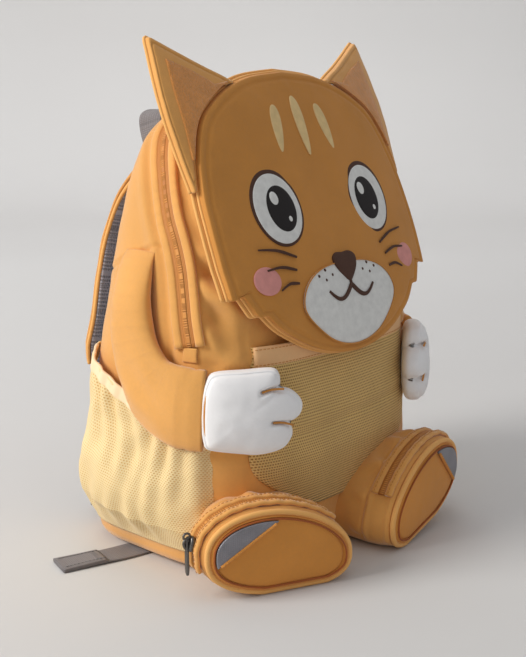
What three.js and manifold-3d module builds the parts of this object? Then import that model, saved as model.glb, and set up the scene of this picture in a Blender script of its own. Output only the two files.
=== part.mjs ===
// Children's backpack shaped as a sitting cat, in millimetres, +Z up, standing on its base.
// The origin is the middle of the base on the floor. -Y is the cat's front, +Y is the wearer's side.
// LEFT pieces lie at -X, RIGHT pieces at +X.
import * as THREE from 'three';
import { mergeVertices } from 'three/addons/utils/BufferGeometryUtils.js';
import Module from 'manifold-3d';

// Driving dimensions: the bag
const BODY_WIDTH = 222;
const BODY_DEPTH = 150;
const BODY_HEIGHT = 299;
const BODY_SQUARENESS = 4;
const BODY_WALL = 2.5;
const BASE_PANEL_THICKNESS = 4;
const GAP = 0.35;

// Driving dimensions: the head
const HEAD_WIDTH = 204;
const HEAD_HEIGHT = 178;
const HEAD_TOP = 315;
const HEAD_PADDING = 6.5;
const HEAD_BACKING_THICKNESS = 2.4;
const HEAD_BACKING_RIM = 1.6;
const HEAD_SIDE_SWEEP = 11;
const EAR_THICKNESS = 5;
const EAR_TIP_RISE = 19;
const INNER_EAR_THICKNESS = 1.6;
const PATCH_THICKNESS = 1;
const EYE_DIAMETER = 40;
const PUPIL_DIAMETER = 24;
const EYE_SPACING = 94;
const EYE_HEIGHT = 232;
const MUZZLE_WIDTH = 96;
const MUZZLE_HEIGHT = 56;
const NOSE_WIDTH = 24;
const CHEEK_DIAMETER = 21;
const STRIPE_LENGTH = 38;
const STRIPE_WIDTH = 12;
const MOUTH_WIDTH = 46;
const MOUTH_LINE = 3.2;

// Driving dimensions: zips
const ZIP_WIDTH = 9;
const ZIP_THICKNESS = 2;
const ZIP_END_HEIGHT = 150;
const ZIP_TAB_LENGTH = 9;
const CORD_PULL_LENGTH = 14;
const CORD_PULL_RADIUS = 1.6;
const KNOT_RADIUS = 3.6;

// Driving dimensions: arms and paws
const ARM_THICKNESS = 13;
const ARM_WIDTH = 52;
const SHOULDER_HEIGHT = 205;
const WRIST_HEIGHT = 112;
const PAW_LENGTH = 58;
const PAW_THICKNESS = 19;

// Driving dimensions: pockets
const POCKET_WALL = 1.6;
const FRONT_POCKET_WIDTH = 172;
const FRONT_POCKET_TOP = 150;
const FRONT_POCKET_BOTTOM = 34;
const FRONT_POCKET_SLACK = 8;
const FRONT_HEM_HEIGHT = 13;
const SIDE_POCKET_SLACK = 17;
const SIDE_POCKET_BOTTOM = 14;
const SIDE_POCKET_BACK_TOP = 137;
const SIDE_POCKET_FRONT_TOP = 92;
const SIDE_POCKET_FRONT_SHARE = 0.74;
const SIDE_POCKET_BACK_SHARE = 0.82;
const SIDE_HEM_HEIGHT = 9;
const HEM_THICKNESS = 1.6;

// Driving dimensions: feet
const SOLE_LENGTH = 100;
const SOLE_HEIGHT = 58.5;
const LEFT_FOOT = { side: -1, x: 87.5, y: -95, splayDeg: 24.9, rollDeg: 0, sliderDeg: 17 };
const RIGHT_FOOT = { side: 1, x: 50, y: -109, splayDeg: 7, rollDeg: 10, sliderDeg: -8 };
const FOOT_DEPTH = 62;
const FOOT_WALL = 2.2;
const SOLE_BULGE = 4;
const PIPING_RADIUS = 1.9;
const FOOT_ZIP_WIDTH = 7;
const FOOT_ZIP_THICKNESS = 1.4;
const FOOT_ZIP_SETBACK = 6;
const PULLER_LENGTH = 23;
const PULLER_WIDTH = 5;
const PULLER_THICKNESS = 1.8;
const SLIDER_LENGTH = 9;
const SLIDER_WIDTH = 8;
const SLIDER_HEIGHT = 3;

// Driving dimensions: carrying
const BACK_PAD_WIDTH = 166;
const BACK_PAD_BOTTOM = 52;
const BACK_PAD_TOP = 232;
const BACK_PAD_THICKNESS = 9;
const STRAP_WIDTH = 46;
const STRAP_THICKNESS = 8;
const STRAP_SPACING = 104;
const STRAP_TOP = 258;
const STRAP_END_HEIGHT = 112;
const STRAP_STANDOFF = 13;
const WEBBING_WIDTH = 21;
const WEBBING_THICKNESS = 1.5;
const LOCK_WIDTH = 30;
const LOCK_HEIGHT = 24;
const LOCK_THICKNESS = 4;
const LOCK_BAR = 4;
const LOOP_SPAN = 92;
const LOOP_TOP = 289;
const LOOP_LEAN = 9;

const wasm = await Module();
wasm.setup();

// Colours and finishes
const fabric = (color, roughness = 0.85) => ({ color, roughness, metalness: 0 });
const ORANGE = fabric(0xe09a4e);
const ORANGE_DEEP = fabric(0xc9823c);
const ORANGE_LIGHT = fabric(0xf0b56c);
const CREAM_MESH = fabric(0xf3dca4, 0.95);
const PEACH_BAND = fabric(0xf2c48a, 0.9);
const TAN_PLUSH = fabric(0xc98a4a, 1);
const WHITE_FABRIC = fabric(0xf2f0ec);
const CREAM_PATCH = fabric(0xf1cd8c);
const BLACK_PATCH = fabric(0x2b2320, 0.6);
const BROWN_PATCH = fabric(0x4a3026, 0.7);
const PINK_PATCH = fabric(0xe59a94);
const GREY_WEBBING = fabric(0x8c8585, 0.8);
const GREY_MESH = fabric(0x6f6f74, 0.95);
const REFLECTIVE = { color: 0x6f7f92, roughness: 0.35, metalness: 0.2 };
const DARK_METAL = { color: 0x4a4644, roughness: 0.35, metalness: 0.9 };
const GREY_PLASTIC = { color: 0x6d6a6a, roughness: 0.5, metalness: 0 };

const group = new THREE.Group();

// Adds one named sub-part
function addPart(name, geometry, finish) {
  const mesh = new THREE.Mesh(geometry, new THREE.MeshStandardMaterial(finish));
  mesh.name = name;
  group.add(mesh);
  return mesh;
}

const v3 = (x, y, z) => new THREE.Vector3(x, y, z);
const UP = v3(0, 0, 1);
const BACK = v3(0, 1, 0);
const FORE = v3(0, -1, 0);
const lerp = THREE.MathUtils.lerp;
const toRad = THREE.MathUtils.degToRad;
const SIDES = [['left', -1], ['right', 1]];

// Smooth value of one column at t in a table whose first column is the place
function tableAt(table, column, t) {
  const last = table.length - 1;
  let i = 0;
  while (i < last - 1 && t > table[i + 1][0]) i += 1;
  const [a, b] = [table[i], table[i + 1]];
  const u = THREE.MathUtils.clamp((t - a[0]) / (b[0] - a[0]), 0, 1);
  const before = table[Math.max(i - 1, 0)];
  const after = table[Math.min(i + 2, last)];
  const span = b[0] - a[0];
  const slopeA = (b[column] - before[column]) / (b[0] - before[0]) * span;
  const slopeB = (after[column] - a[column]) / (after[0] - a[0]) * span;
  const rise = a[column] - b[column];
  return a[column] + slopeA * u
    + (-3 * rise - 2 * slopeA - slopeB) * u * u
    + (2 * rise + slopeA + slopeB) * u * u * u;
}

// A geometry from corners and triangles, with its faces turned outwards
function closedGeometry(points, faces) {
  let volume = 0;
  for (const [a, b, c] of faces) {
    volume += points[a].dot(v3(0, 0, 0).crossVectors(points[b], points[c]));
  }
  const index = faces.flatMap(([a, b, c]) => (volume < 0 ? [a, c, b] : [a, b, c]));
  const geometry = new THREE.BufferGeometry();
  const flat = points.flatMap((p) => [p.x, p.y, p.z]);
  geometry.setAttribute('position', new THREE.Float32BufferAttribute(flat, 3));
  geometry.setIndex(index);
  return geometry;
}

// Closed skin through rings of equal length, with a pole at each end
function skin(rings, startPole, endPole) {
  const size = rings[0].length;
  const points = rings.flat();
  const faces = [];
  for (let r = 0; r < rings.length - 1; r += 1) {
    for (let k = 0; k < size; k += 1) {
      const a = r * size + k;
      const b = r * size + (k + 1) % size;
      faces.push([a, b, b + size], [a, b + size, a + size]);
    }
  }
  const centre = (ring) => ring.reduce((s, p) => s.add(p), v3(0, 0, 0)).divideScalar(size);
  const lastRing = (rings.length - 1) * size;
  points.push(startPole ?? centre(rings[0]), endPole ?? centre(rings.at(-1)));
  for (let k = 0; k < size; k += 1) {
    const next = (k + 1) % size;
    faces.push([points.length - 2, next, k]);
    faces.push([points.length - 1, lastRing + k, lastRing + next]);
  }
  return closedGeometry(points, faces);
}

// Closed ring of rings, such as a tube bent into a loop
function loopSkin(rings) {
  const size = rings[0].length;
  const faces = [];
  for (let r = 0; r < rings.length; r += 1) {
    for (let k = 0; k < size; k += 1) {
      const a = r * size + k;
      const b = r * size + (k + 1) % size;
      const shift = (r + 1) % rings.length * size - r * size;
      faces.push([a, b, b + shift], [a, b + shift, a + shift]);
    }
  }
  return closedGeometry(rings.flat(), faces);
}

// Slab between two grids of points
function slab(front, back) {
  const [rows, cols] = [front.length, front[0].length];
  const points = [...front.flat(), ...back.flat()];
  const shift = rows * cols;
  const faces = [];
  for (let r = 0; r < rows - 1; r += 1) {
    for (let c = 0; c < cols - 1; c += 1) {
      const a = r * cols + c;
      const corners = [a, a + 1, a + cols + 1, a + cols];
      faces.push([corners[0], corners[1], corners[2]], [corners[0], corners[2], corners[3]]);
      const [d, e, f, g] = corners.map((k) => k + shift);
      faces.push([d, f, e], [d, g, f]);
    }
  }
  const rim = [];
  for (let c = 0; c < cols - 1; c += 1) rim.push(c);
  for (let r = 0; r < rows - 1; r += 1) rim.push(r * cols + cols - 1);
  for (let c = cols - 1; c > 0; c -= 1) rim.push((rows - 1) * cols + c);
  for (let r = rows - 1; r > 0; r -= 1) rim.push(r * cols);
  rim.forEach((a, k) => {
    const b = rim[(k + 1) % rim.length];
    faces.push([a, b + shift, b], [a, a + shift, b + shift]);
  });
  return closedGeometry(points, faces);
}

// Pad over a flat outline: map(a, b, h) places it, profile lists [share of outline, height]
function pad(outline, centre, map, profile) {
  const ring = ([share, h]) => outline.map(([a, b]) => (
    map(lerp(centre[0], a, share), lerp(centre[1], b, share), h)));
  const inner = profile.slice(1, -1);
  return skin(
    inner.map(ring),
    map(centre[0], centre[1], profile[0][1]),
    map(centre[0], centre[1], profile.at(-1)[1]),
  );
}

// Solid swept along a path: frames give point, normal, width and thickness; section is a unit ring
function sweep(frames, section) {
  const rings = frames.map((frame, i) => {
    const ahead = frames[Math.min(i + 1, frames.length - 1)].point;
    const behind = frames[Math.max(i - 1, 0)].point;
    const tangent = ahead.clone().sub(behind).normalize();
    const across = v3(0, 0, 0).crossVectors(tangent, frame.normal).normalize();
    const out = v3(0, 0, 0).crossVectors(across, tangent).normalize();
    return section.map(([s, n]) => frame.point.clone()
      .addScaledVector(across, s * frame.width / 2)
      .addScaledVector(out, n * frame.thickness / 2));
  });
  return skin(rings);
}

const FLAT_SECTION = [[-1, -1], [1, -1], [1, 1], [-1, 1]];
const ovalSection = (count) => Array.from({ length: count }, (_, k) => {
  const angle = k / count * Math.PI * 2;
  return [Math.cos(angle), Math.sin(angle)];
});
const PADDED_SECTION = [
  [-1, 0], [-0.92, -0.7], [-0.7, -1], [0.7, -1], [0.92, -0.7],
  [1, 0], [0.92, 0.7], [0.7, 1], [-0.7, 1], [-0.92, 0.7],
];

// Solids for cutting and joining
function toSolid(geometry) {
  const plain = geometry.clone();
  plain.deleteAttribute('normal');
  plain.deleteAttribute('uv');
  const merged = mergeVertices(plain);
  return new wasm.Manifold(new wasm.Mesh({
    numProp: 3,
    vertProperties: new Float32Array(merged.attributes.position.array),
    triVerts: new Uint32Array(merged.index.array),
  }));
}

function toGeometry(solid) {
  const mesh = solid.getMesh();
  const geometry = new THREE.BufferGeometry();
  geometry.setAttribute('position', new THREE.BufferAttribute(mesh.vertProperties, 3));
  geometry.setIndex(new THREE.BufferAttribute(mesh.triVerts, 1));
  return geometry;
}

const cutBy = (geometry, cutter) => toGeometry(toSolid(geometry).subtract(cutter));

// A solid moved along a direction, and a solid joined with such a copy
const movedBy = (solid, direction, amount) => solid.translate([
  direction.x * amount, direction.y * amount, direction.z * amount]);
const forwardBy = (solid, direction, amount) => solid.add(movedBy(solid, direction, amount));

// The largest body of a cut solid, without slivers left by the cut
const mainBody = (solid) => solid.decompose()
  .sort((a, b) => b.volume() - a.volume())[0];

// Mirrors a closed geometry to the other side
function mirrored(geometry) {
  const copy = geometry.clone();
  copy.scale(-1, 1, 1);
  const index = copy.index.array;
  for (let i = 0; i < index.length; i += 3) {
    [index[i + 1], index[i + 2]] = [index[i + 2], index[i + 1]];
  }
  return copy;
}

// Adds a left piece and its mirror on the right
function addPair(name, leftGeometry, finish) {
  addPart(`${name}_left`, leftGeometry, finish);
  addPart(`${name}_right`, mirrored(leftGeometry), finish);
}

// The bag's body: its plan section at each height, as shares of height, half width and depth
const BODY_TABLE = [
  [0.000, 0.900, -0.440, 0.500],
  [0.012, 0.950, -0.462, 0.522],
  [0.040, 0.985, -0.475, 0.535],
  [0.120, 1.000, -0.478, 0.540],
  [0.250, 1.000, -0.472, 0.530],
  [0.400, 0.998, -0.458, 0.490],
  [0.520, 0.985, -0.438, 0.440],
  [0.620, 0.960, -0.405, 0.395],
  [0.700, 0.930, -0.362, 0.362],
  [0.760, 0.900, -0.322, 0.340],
  [0.830, 0.845, -0.266, 0.316],
  [0.890, 0.765, -0.216, 0.295],
  [0.930, 0.680, -0.181, 0.275],
  [0.965, 0.560, -0.150, 0.250],
  [0.988, 0.420, -0.128, 0.225],
  [1.000, 0.250, -0.115, 0.195],
];
const [COL_HALF, COL_FRONT, COL_BACK] = [1, 2, 3];

function bodySection(z, offset = 0) {
  const share = THREE.MathUtils.clamp(z / BODY_HEIGHT, 0, 1);
  const front = tableAt(BODY_TABLE, COL_FRONT, share) * BODY_DEPTH - offset;
  const back = tableAt(BODY_TABLE, COL_BACK, share) * BODY_DEPTH + offset;
  const half = tableAt(BODY_TABLE, COL_HALF, share) * BODY_WIDTH / 2 + offset;
  return { half, middle: (front + back) / 2, deep: (back - front) / 2 };
}

const bulge = (ratio) => (
  Math.max(1 - Math.min(Math.abs(ratio), 1) ** BODY_SQUARENESS, 0) ** (1 / BODY_SQUARENESS));

// Surface of the body seen from its front, its back and its side
function frontY(x, z, offset = 0) {
  const { half, middle, deep } = bodySection(z, offset);
  return middle - deep * bulge(x / half);
}
function backY(x, z, offset = 0) {
  const { half, middle, deep } = bodySection(z, offset);
  return middle + deep * bulge(x / half);
}
function sideX(y, z, offset = 0) {
  const { half, middle, deep } = bodySection(z, offset);
  return half * bulge((y - middle) / deep);
}

// Outward direction of the body's surface
function bodyNormal(point) {
  const value = (p) => {
    const { half, middle, deep } = bodySection(p.z);
    return Math.abs(p.x / half) ** BODY_SQUARENESS
      + Math.abs((p.y - middle) / deep) ** BODY_SQUARENESS;
  };
  const step = 0.5;
  const slope = (axis) => value(point.clone().addScaledVector(axis, step))
    - value(point.clone().addScaledVector(axis, -step));
  return v3(slope(v3(1, 0, 0)), slope(v3(0, 1, 0)), slope(v3(0, 0, 1))).normalize();
}

function bodyRing(z, offset, count) {
  const { half, middle, deep } = bodySection(z, offset);
  const power = 2 / BODY_SQUARENESS;
  return Array.from({ length: count }, (_, k) => {
    const angle = (k + 0.5) / count * Math.PI * 2;
    const [c, s] = [Math.cos(angle), Math.sin(angle)];
    const x = half * Math.sign(c) * Math.abs(c) ** power;
    const y = middle + deep * Math.sign(s) * Math.abs(s) ** power;
    return v3(x, y, z);
  });
}

const BODY_SEGMENTS = 28;
const BODY_BOTTOM = BASE_PANEL_THICKNESS + GAP;

// The body's skin moved outwards by an offset, from a floor height up
function bodySkin(offset, bottom) {
  const heights = BODY_TABLE.map(([share]) => share * BODY_HEIGHT)
    .filter((z) => z > bottom + BODY_WALL);
  const rings = [bottom, ...heights].map((z) => {
    const ring = bodyRing(z, offset, BODY_SEGMENTS);
    const crown = THREE.MathUtils.smoothstep(z / BODY_HEIGHT, 0.6, 1);
    ring.forEach((p) => { p.z = z + offset * crown; });
    return ring;
  });
  return skin(rings);
}
const bodyEnvelope = toSolid(bodySkin(GAP, -BODY_WALL));

// Main zip: its line up one side, over the top and down the other, as [height, depth] shares
const ZIP_LINE = [
  [0.500, -0.255],
  [0.560, -0.230],
  [0.640, -0.200],
  [0.700, -0.160],
  [0.765, -0.095],
  [0.830, -0.035],
  [0.890, 0.030],
  [0.930, 0.070],
  [1.000, 0.090],
];
const ZIP_STEPS = 15;

function zipPoint(z, side) {
  const y = tableAt(ZIP_LINE, 1, z / BODY_HEIGHT) * BODY_DEPTH;
  return v3(side * sideX(y, z), y, z);
}

function zipFrames(width, thickness, sink) {
  const climb = Array.from({ length: ZIP_STEPS }, (_, i) => {
    const share = Math.sin(i / ZIP_STEPS * Math.PI / 2);
    return lerp(ZIP_END_HEIGHT, BODY_HEIGHT, share);
  });
  const left = climb.map((z) => zipPoint(z, -1));
  const right = climb.map((z) => zipPoint(z, 1)).reverse();
  const points = [...left, ...right];
  return points.map((point) => {
    const normal = bodyNormal(point);
    return {
      point: point.clone().addScaledVector(normal, -sink),
      normal,
      width,
      thickness,
    };
  });
}

// Body shell: cloth wall round the main compartment, slit where the zip is
const zipSlit = toSolid(sweep(zipFrames(ZIP_WIDTH + 2 * GAP, BODY_WALL * 5, 0), FLAT_SECTION));
const compartment = toSolid(bodySkin(-BODY_WALL, BODY_BOTTOM + BODY_WALL));
const bodyShell = toSolid(bodySkin(0, BODY_BOTTOM)).subtract(compartment).subtract(zipSlit);
addPart('body_shell', toGeometry(bodyShell), ORANGE);

// Main zip with its end stops
addPart(
  'main_zip',
  sweep(zipFrames(ZIP_WIDTH, ZIP_THICKNESS, ZIP_THICKNESS / 2), FLAT_SECTION),
  ORANGE_DEEP,
);
SIDES.forEach(([name, side]) => {
  const drop = [0, 0.5, 1].map((share) => {
    const z = ZIP_END_HEIGHT - GAP - ZIP_TAB_LENGTH * share;
    const point = zipPoint(z, side);
    const normal = bodyNormal(point);
    return {
      point: point.addScaledVector(normal, GAP + ZIP_THICKNESS / 2),
      normal,
      width: ZIP_WIDTH * 1.3,
      thickness: ZIP_THICKNESS,
    };
  });
  addPart(`zip_tab_${name}`, sweep(drop, FLAT_SECTION), ORANGE_LIGHT);
});

// Foot: a zipped pocket with an egg-shaped padded sole
const FOOT_SEGMENTS = 24;
const SOLE_DROP = 0.2;
const PIPING_DEPTH = PIPING_RADIUS + GAP;
const SOLE_CENTRE = [0, SOLE_HEIGHT * 0.46];

function solePoint(angle) {
  const inward = (1 - Math.cos(angle)) / 2;
  const rise = Math.sign(Math.sin(angle)) * Math.abs(Math.sin(angle)) ** 0.85;
  const middle = SOLE_HEIGHT * (0.5 - SOLE_DROP * inward ** 2);
  const height = middle + SOLE_HEIGHT / 2 * rise * (1 - 0.1 * inward ** 2);
  return [SOLE_LENGTH / 2 * Math.cos(angle), Math.max(height, 0)];
}

const soleOutline = Array.from(
  { length: FOOT_SEGMENTS },
  (_, k) => solePoint((k + 0.5) / FOOT_SEGMENTS * Math.PI * 2),
);

// Directions pointing out of a closed outline that turns anticlockwise
function outlineNormals(outline) {
  return outline.map((_, k) => {
    const before = outline.at(k - 1);
    const after = outline[(k + 1) % outline.length];
    const [da, db] = [after[0] - before[0], after[1] - before[1]];
    const length = Math.hypot(da, db);
    return [db / length, -da / length];
  });
}

function grown(outline, amount) {
  const normals = outlineNormals(outline);
  return outline.map(([a, b], k) => [a + normals[k][0] * amount, b + normals[k][1] * amount]);
}

// A foot's own axes: along its sole outwards, and depth back towards the body
function footAxes({ side, x, y, splayDeg, rollDeg }) {
  const [cosS, sinS] = [Math.cos(toRad(splayDeg)), Math.sin(toRad(splayDeg))];
  const [cosR, sinR] = [Math.cos(toRad(rollDeg)), Math.sin(toRad(rollDeg))];
  const along = v3(side * cosS, sinS, 0);
  const depth = v3(-side * sinS, cosS, 0);
  const lowest = Math.min(...soleOutline.map(([a, b]) => a * sinR + b * cosR));
  // Place on the foot: along its sole, height, and depth behind the sole's rim
  const place = (a, b, d, floor = -Infinity) => {
    const point = v3(side * x, y, 0)
      .addScaledVector(along, a * cosR - (b - SOLE_CENTRE[1]) * sinR)
      .addScaledVector(depth, d);
    point.z = Math.max(a * sinR + b * cosR - lowest, floor);
    return point;
  };
  const direction = (a, b) => along.clone().multiplyScalar(a * cosR - b * sinR)
    .add(v3(0, 0, a * sinR + b * cosR));
  return { along, depth, place, direction };
}

// Foot gusset: depth share, swell in mm at that depth, and how far the outer end is drawn in
const GUSSET_TABLE = [
  [0.00, -0.6, 1.00],
  [0.22, 1.2, 1.00],
  [0.50, 0.6, 0.89],
  [0.75, -1.0, 0.70],
  [1.00, -2.0, 0.46],
];
const zipDepth = PIPING_DEPTH + FOOT_ZIP_SETBACK + FOOT_ZIP_WIDTH / 2;
const gussetSwell = tableAt(GUSSET_TABLE, 1, zipDepth / FOOT_DEPTH);

function gussetSkin(axes, extra, reach) {
  const rings = GUSSET_TABLE.map(([share, swell, drawn], i) => {
    let depth = lerp(PIPING_DEPTH, FOOT_DEPTH, share);
    if (i === 0) depth -= reach;
    return grown(soleOutline, swell + extra).map(([a, b]) => (
      axes.place(a > 0 ? a * drawn : a, b, depth, -extra)));
  });
  return skin(rings);
}

const ZIP_BELOW_SLIDER_DEG = 30;
const ZIP_LAST_DEG = 152;
const FOOT_ZIP_STEPS = 12;

function gussetFrame(axes, degrees, lift, width, thickness) {
  const [a, b, c] = [-2, 0, 2].map((step) => solePoint(toRad(degrees + step)));
  const length = Math.hypot(c[0] - a[0], c[1] - a[1]);
  const [na, nb] = [(c[1] - a[1]) / length, -(c[0] - a[0]) / length];
  const out = gussetSwell + lift;
  return {
    point: axes.place(b[0] + na * out, b[1] + nb * out, zipDepth),
    normal: axes.direction(na, nb),
    width,
    thickness,
  };
}

// Slider and puller sizes, in the slider's own frame: x outwards, y along the pin, z up
const PIN_RADIUS = 0.9;
const EYE_RADIUS = 2.2;
const EYE_BORE = 1.3;
const EYE_WIDTH = 3;
const LUG_RADIUS = 1.8;
const LUG_THICKNESS = 1.2;
const PIN_LIFT = SLIDER_HEIGHT + 3.2;
const rod = (radius, length, sides) => new THREE.CylinderGeometry(radius, radius, length, sides);

function sliderShape(sliderDeg) {
  const tilt = toRad(sliderDeg) * 0.4;
  const box = new THREE.BoxGeometry(SLIDER_HEIGHT, SLIDER_WIDTH, SLIDER_LENGTH)
    .translate(SLIDER_HEIGHT / 2, 0, 0).rotateY(-tilt);
  const lugY = EYE_WIDTH / 2 + GAP + LUG_THICKNESS / 2;
  const lugs = [-1, 1].map((side) => {
    const arm = new THREE.BoxGeometry(PIN_LIFT, LUG_THICKNESS, 2 * LUG_RADIUS)
      .translate(PIN_LIFT / 2, side * lugY, 0);
    const eye = rod(LUG_RADIUS, LUG_THICKNESS, 10).translate(PIN_LIFT, side * lugY, 0);
    return toSolid(arm).add(toSolid(eye));
  });
  const pin = rod(PIN_RADIUS, EYE_WIDTH + 2 * LUG_THICKNESS, 10).translate(PIN_LIFT, 0, 0);
  return toSolid(box).add(lugs[0]).add(lugs[1]).add(toSolid(pin));
}

function pullerShape() {
  const tab = new THREE.BoxGeometry(PULLER_THICKNESS, PULLER_WIDTH, PULLER_LENGTH)
    .translate(PIN_LIFT, 0, -EYE_RADIUS - GAP - PULLER_LENGTH / 2);
  const neck = new THREE.BoxGeometry(PULLER_THICKNESS, EYE_WIDTH, 3)
    .translate(PIN_LIFT, 0, -EYE_RADIUS - 0.5);
  const eye = rod(EYE_RADIUS, EYE_WIDTH, 12).translate(PIN_LIFT, 0, 0);
  const bore = rod(EYE_BORE, EYE_WIDTH + 1, 12).translate(PIN_LIFT, 0, 0);
  return toSolid(eye).add(toSolid(neck)).add(toSolid(tab)).subtract(toSolid(bore));
}

// Builds one foot with its piping, sole, patch, zip, slider and puller
function buildFoot(name, pose) {
  const axes = footAxes(pose);
  const bore = toSolid(gussetSkin(axes, -FOOT_WALL, 1));
  const rear = new THREE.BoxGeometry(SOLE_LENGTH, 20, SOLE_HEIGHT * 1.4)
    .rotateZ(pose.side * toRad(pose.splayDeg));
  const rearAt = axes.place(0, SOLE_HEIGHT / 2, FOOT_DEPTH + 6);
  const gusset = toSolid(gussetSkin(axes, 0, 0)).subtract(bore)
    .subtract(toSolid(rear.translate(rearAt.x, rearAt.y, rearAt.z)))
    .subtract(bodyEnvelope);
  addPart(`foot_gusset_${name}`, toGeometry(gusset), ORANGE);

  const pipingLine = grown(soleOutline, -PIPING_RADIUS);
  const pipingNormals = outlineNormals(pipingLine);
  const piping = loopSkin(pipingLine.map(([a, b], k) => ovalSection(5).map(([c, s]) => axes.place(
    a + PIPING_RADIUS * c * pipingNormals[k][0],
    b + PIPING_RADIUS * c * pipingNormals[k][1],
    PIPING_RADIUS * s,
    0,
  ))));
  addPart(`foot_piping_${name}`, piping, ORANGE_LIGHT);

  const onSole = (a, b, out) => axes.place(a, b, -out);
  const sole = toSolid(pad(grown(soleOutline, -2 * PIPING_RADIUS - GAP), SOLE_CENTRE, onSole, [
    [0, -PIPING_RADIUS], [1, -PIPING_RADIUS], [1, 0], [0.92, SOLE_BULGE * 0.5],
    [0.62, SOLE_BULGE * 0.85], [0, SOLE_BULGE],
  ]));
  addPart(`foot_sole_${name}`, toGeometry(sole), ORANGE);

  // Reflective patch across the sole's outer upper corner
  const rim = grown(soleOutline, -2 * PIPING_RADIUS - 1.5);
  const edge = [...rim.slice(-2), ...rim.slice(0, Math.round(FOOT_SEGMENTS * 0.27))];
  const middle = edge.reduce((s, p) => [
    s[0] + p[0] / edge.length, s[1] + p[1] / edge.length], [0, 0]);
  const patch = toSolid(pad(edge, middle, onSole, [
    [0, 0], [1, 0], [1, SOLE_BULGE * 0.7], [0, SOLE_BULGE * 0.85 + PATCH_THICKNESS],
  ]));
  const patchOnSole = patch.subtract(movedBy(sole, axes.depth, -GAP));
  addPart(`reflective_patch_${name}`, toGeometry(patchOnSole), REFLECTIVE);

  const zipStrip = (from, to, steps, width, thickness) => sweep(
    Array.from({ length: steps + 1 }, (_, i) => gussetFrame(
      axes,
      lerp(from, to, i / steps),
      GAP + FOOT_ZIP_THICKNESS / 2,
      width,
      thickness,
    )),
    FLAT_SECTION,
  );
  const gussetEnvelope = toSolid(gussetSkin(axes, GAP, 0));
  const zip = toSolid(zipStrip(
    pose.sliderDeg - ZIP_BELOW_SLIDER_DEG,
    ZIP_LAST_DEG,
    FOOT_ZIP_STEPS,
    FOOT_ZIP_WIDTH,
    FOOT_ZIP_THICKNESS,
  )).subtract(gussetEnvelope);
  addPart(`foot_zip_${name}`, toGeometry(zip), ORANGE_DEEP);

  const seat = gussetFrame(axes, pose.sliderDeg, 2 * GAP + FOOT_ZIP_THICKNESS, 0, 0).point;
  const onSlider = (solid) => {
    const geometry = toGeometry(solid);
    const across = v3(0, 0, 0).crossVectors(UP, axes.along);
    geometry.applyMatrix4(new THREE.Matrix4().makeBasis(axes.along, across, UP));
    return geometry.translate(seat.x, seat.y, seat.z);
  };
  const zipCutter = toSolid(zipStrip(
    pose.sliderDeg - 12,
    pose.sliderDeg + 12,
    5,
    FOOT_ZIP_WIDTH + 2,
    FOOT_ZIP_THICKNESS + 2 * GAP,
  ));
  const slider = toSolid(onSlider(sliderShape(pose.sliderDeg)))
    .subtract(zipCutter)
    .subtract(gussetEnvelope)
    .subtract(forwardBy(zip, axes.along, GAP));
  addPart(`foot_slider_${name}`, toGeometry(slider), DARK_METAL);
  addPart(`foot_puller_${name}`, onSlider(pullerShape()), DARK_METAL);
  return toSolid(gussetSkin(axes, GAP, GAP + 2 * PIPING_DEPTH));
}
const leftFootEnvelope = buildFoot('left', LEFT_FOOT);
const rightFootEnvelope = buildFoot('right', RIGHT_FOOT);
const footEnvelopes = leftFootEnvelope.add(rightFootEnvelope);

// Arms: padded sleeves lying on the body's sides, from the shoulder to the wrist
const ARM_TABLE = [
  [0.00, 0.045, 0.46, 0.45],
  [0.13, 0.045, 0.56, 0.85],
  [0.35, 0.038, 0.62, 1.00],
  [0.58, 0.018, 0.72, 1.00],
  [0.78, -0.035, 0.86, 1.00],
  [0.91, -0.105, 0.96, 1.00],
  [0.98, -0.200, 1.00, 1.00],
  [1.00, -0.320, 1.00, 0.95],
];

function armFrames(extra) {
  return ARM_TABLE.map(([climb, depth, wide, thick]) => {
    const z = lerp(SHOULDER_HEIGHT, WRIST_HEIGHT, climb);
    const y = depth * BODY_DEPTH;
    const lift = ARM_THICKNESS * thick / 2 + GAP;
    const surface = v3(-sideX(y, z), y, z);
    const normal = bodyNormal(surface);
    return {
      point: surface.addScaledVector(normal, lift),
      normal,
      width: ARM_WIDTH * wide + 2 * extra,
      thickness: ARM_THICKNESS * thick + 2 * extra,
    };
  });
}
const armGeometry = sweep(armFrames(0), ovalSection(12));
addPair('arm', cutBy(armGeometry, bodyEnvelope), ORANGE);
const armEnvelope = toSolid(sweep(armFrames(GAP), ovalSection(12)));

// Front pocket: mesh wall with an elastic band along its top
const FRONT_POCKET_EDGE = [
  [0.00, 0.26],
  [0.12, 0.62],
  [0.30, 1.00],
  [0.60, 0.95],
  [1.00, 0.80],
];
const POCKET_ROWS = 6;
const POCKET_COLS = 12;

function frontPocketGrid(from, to, lift) {
  const rows = [];
  for (let r = 0; r <= POCKET_ROWS; r += 1) {
    const share = lerp(from, to, r / POCKET_ROWS);
    const z = lerp(FRONT_POCKET_BOTTOM, FRONT_POCKET_TOP, share);
    const half = tableAt(FRONT_POCKET_EDGE, 1, share) * FRONT_POCKET_WIDTH / 2;
    const row = [];
    for (let c = 0; c <= POCKET_COLS; c += 1) {
      const across = lerp(-1, 1, c / POCKET_COLS);
      const belly = 0.64 + 0.36 * Math.sin(Math.PI * Math.min(share, 1));
      const slack = FRONT_POCKET_SLACK * (1 - across ** 2) ** 0.6 * Math.min(share * 3, 1) * belly;
      const x = across * half;
      row.push(v3(x, frontY(x, z) - GAP - slack - lift, z));
    }
    rows.push(row);
  }
  return rows;
}
const hemShare = FRONT_HEM_HEIGHT / (FRONT_POCKET_TOP - FRONT_POCKET_BOTTOM);
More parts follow.
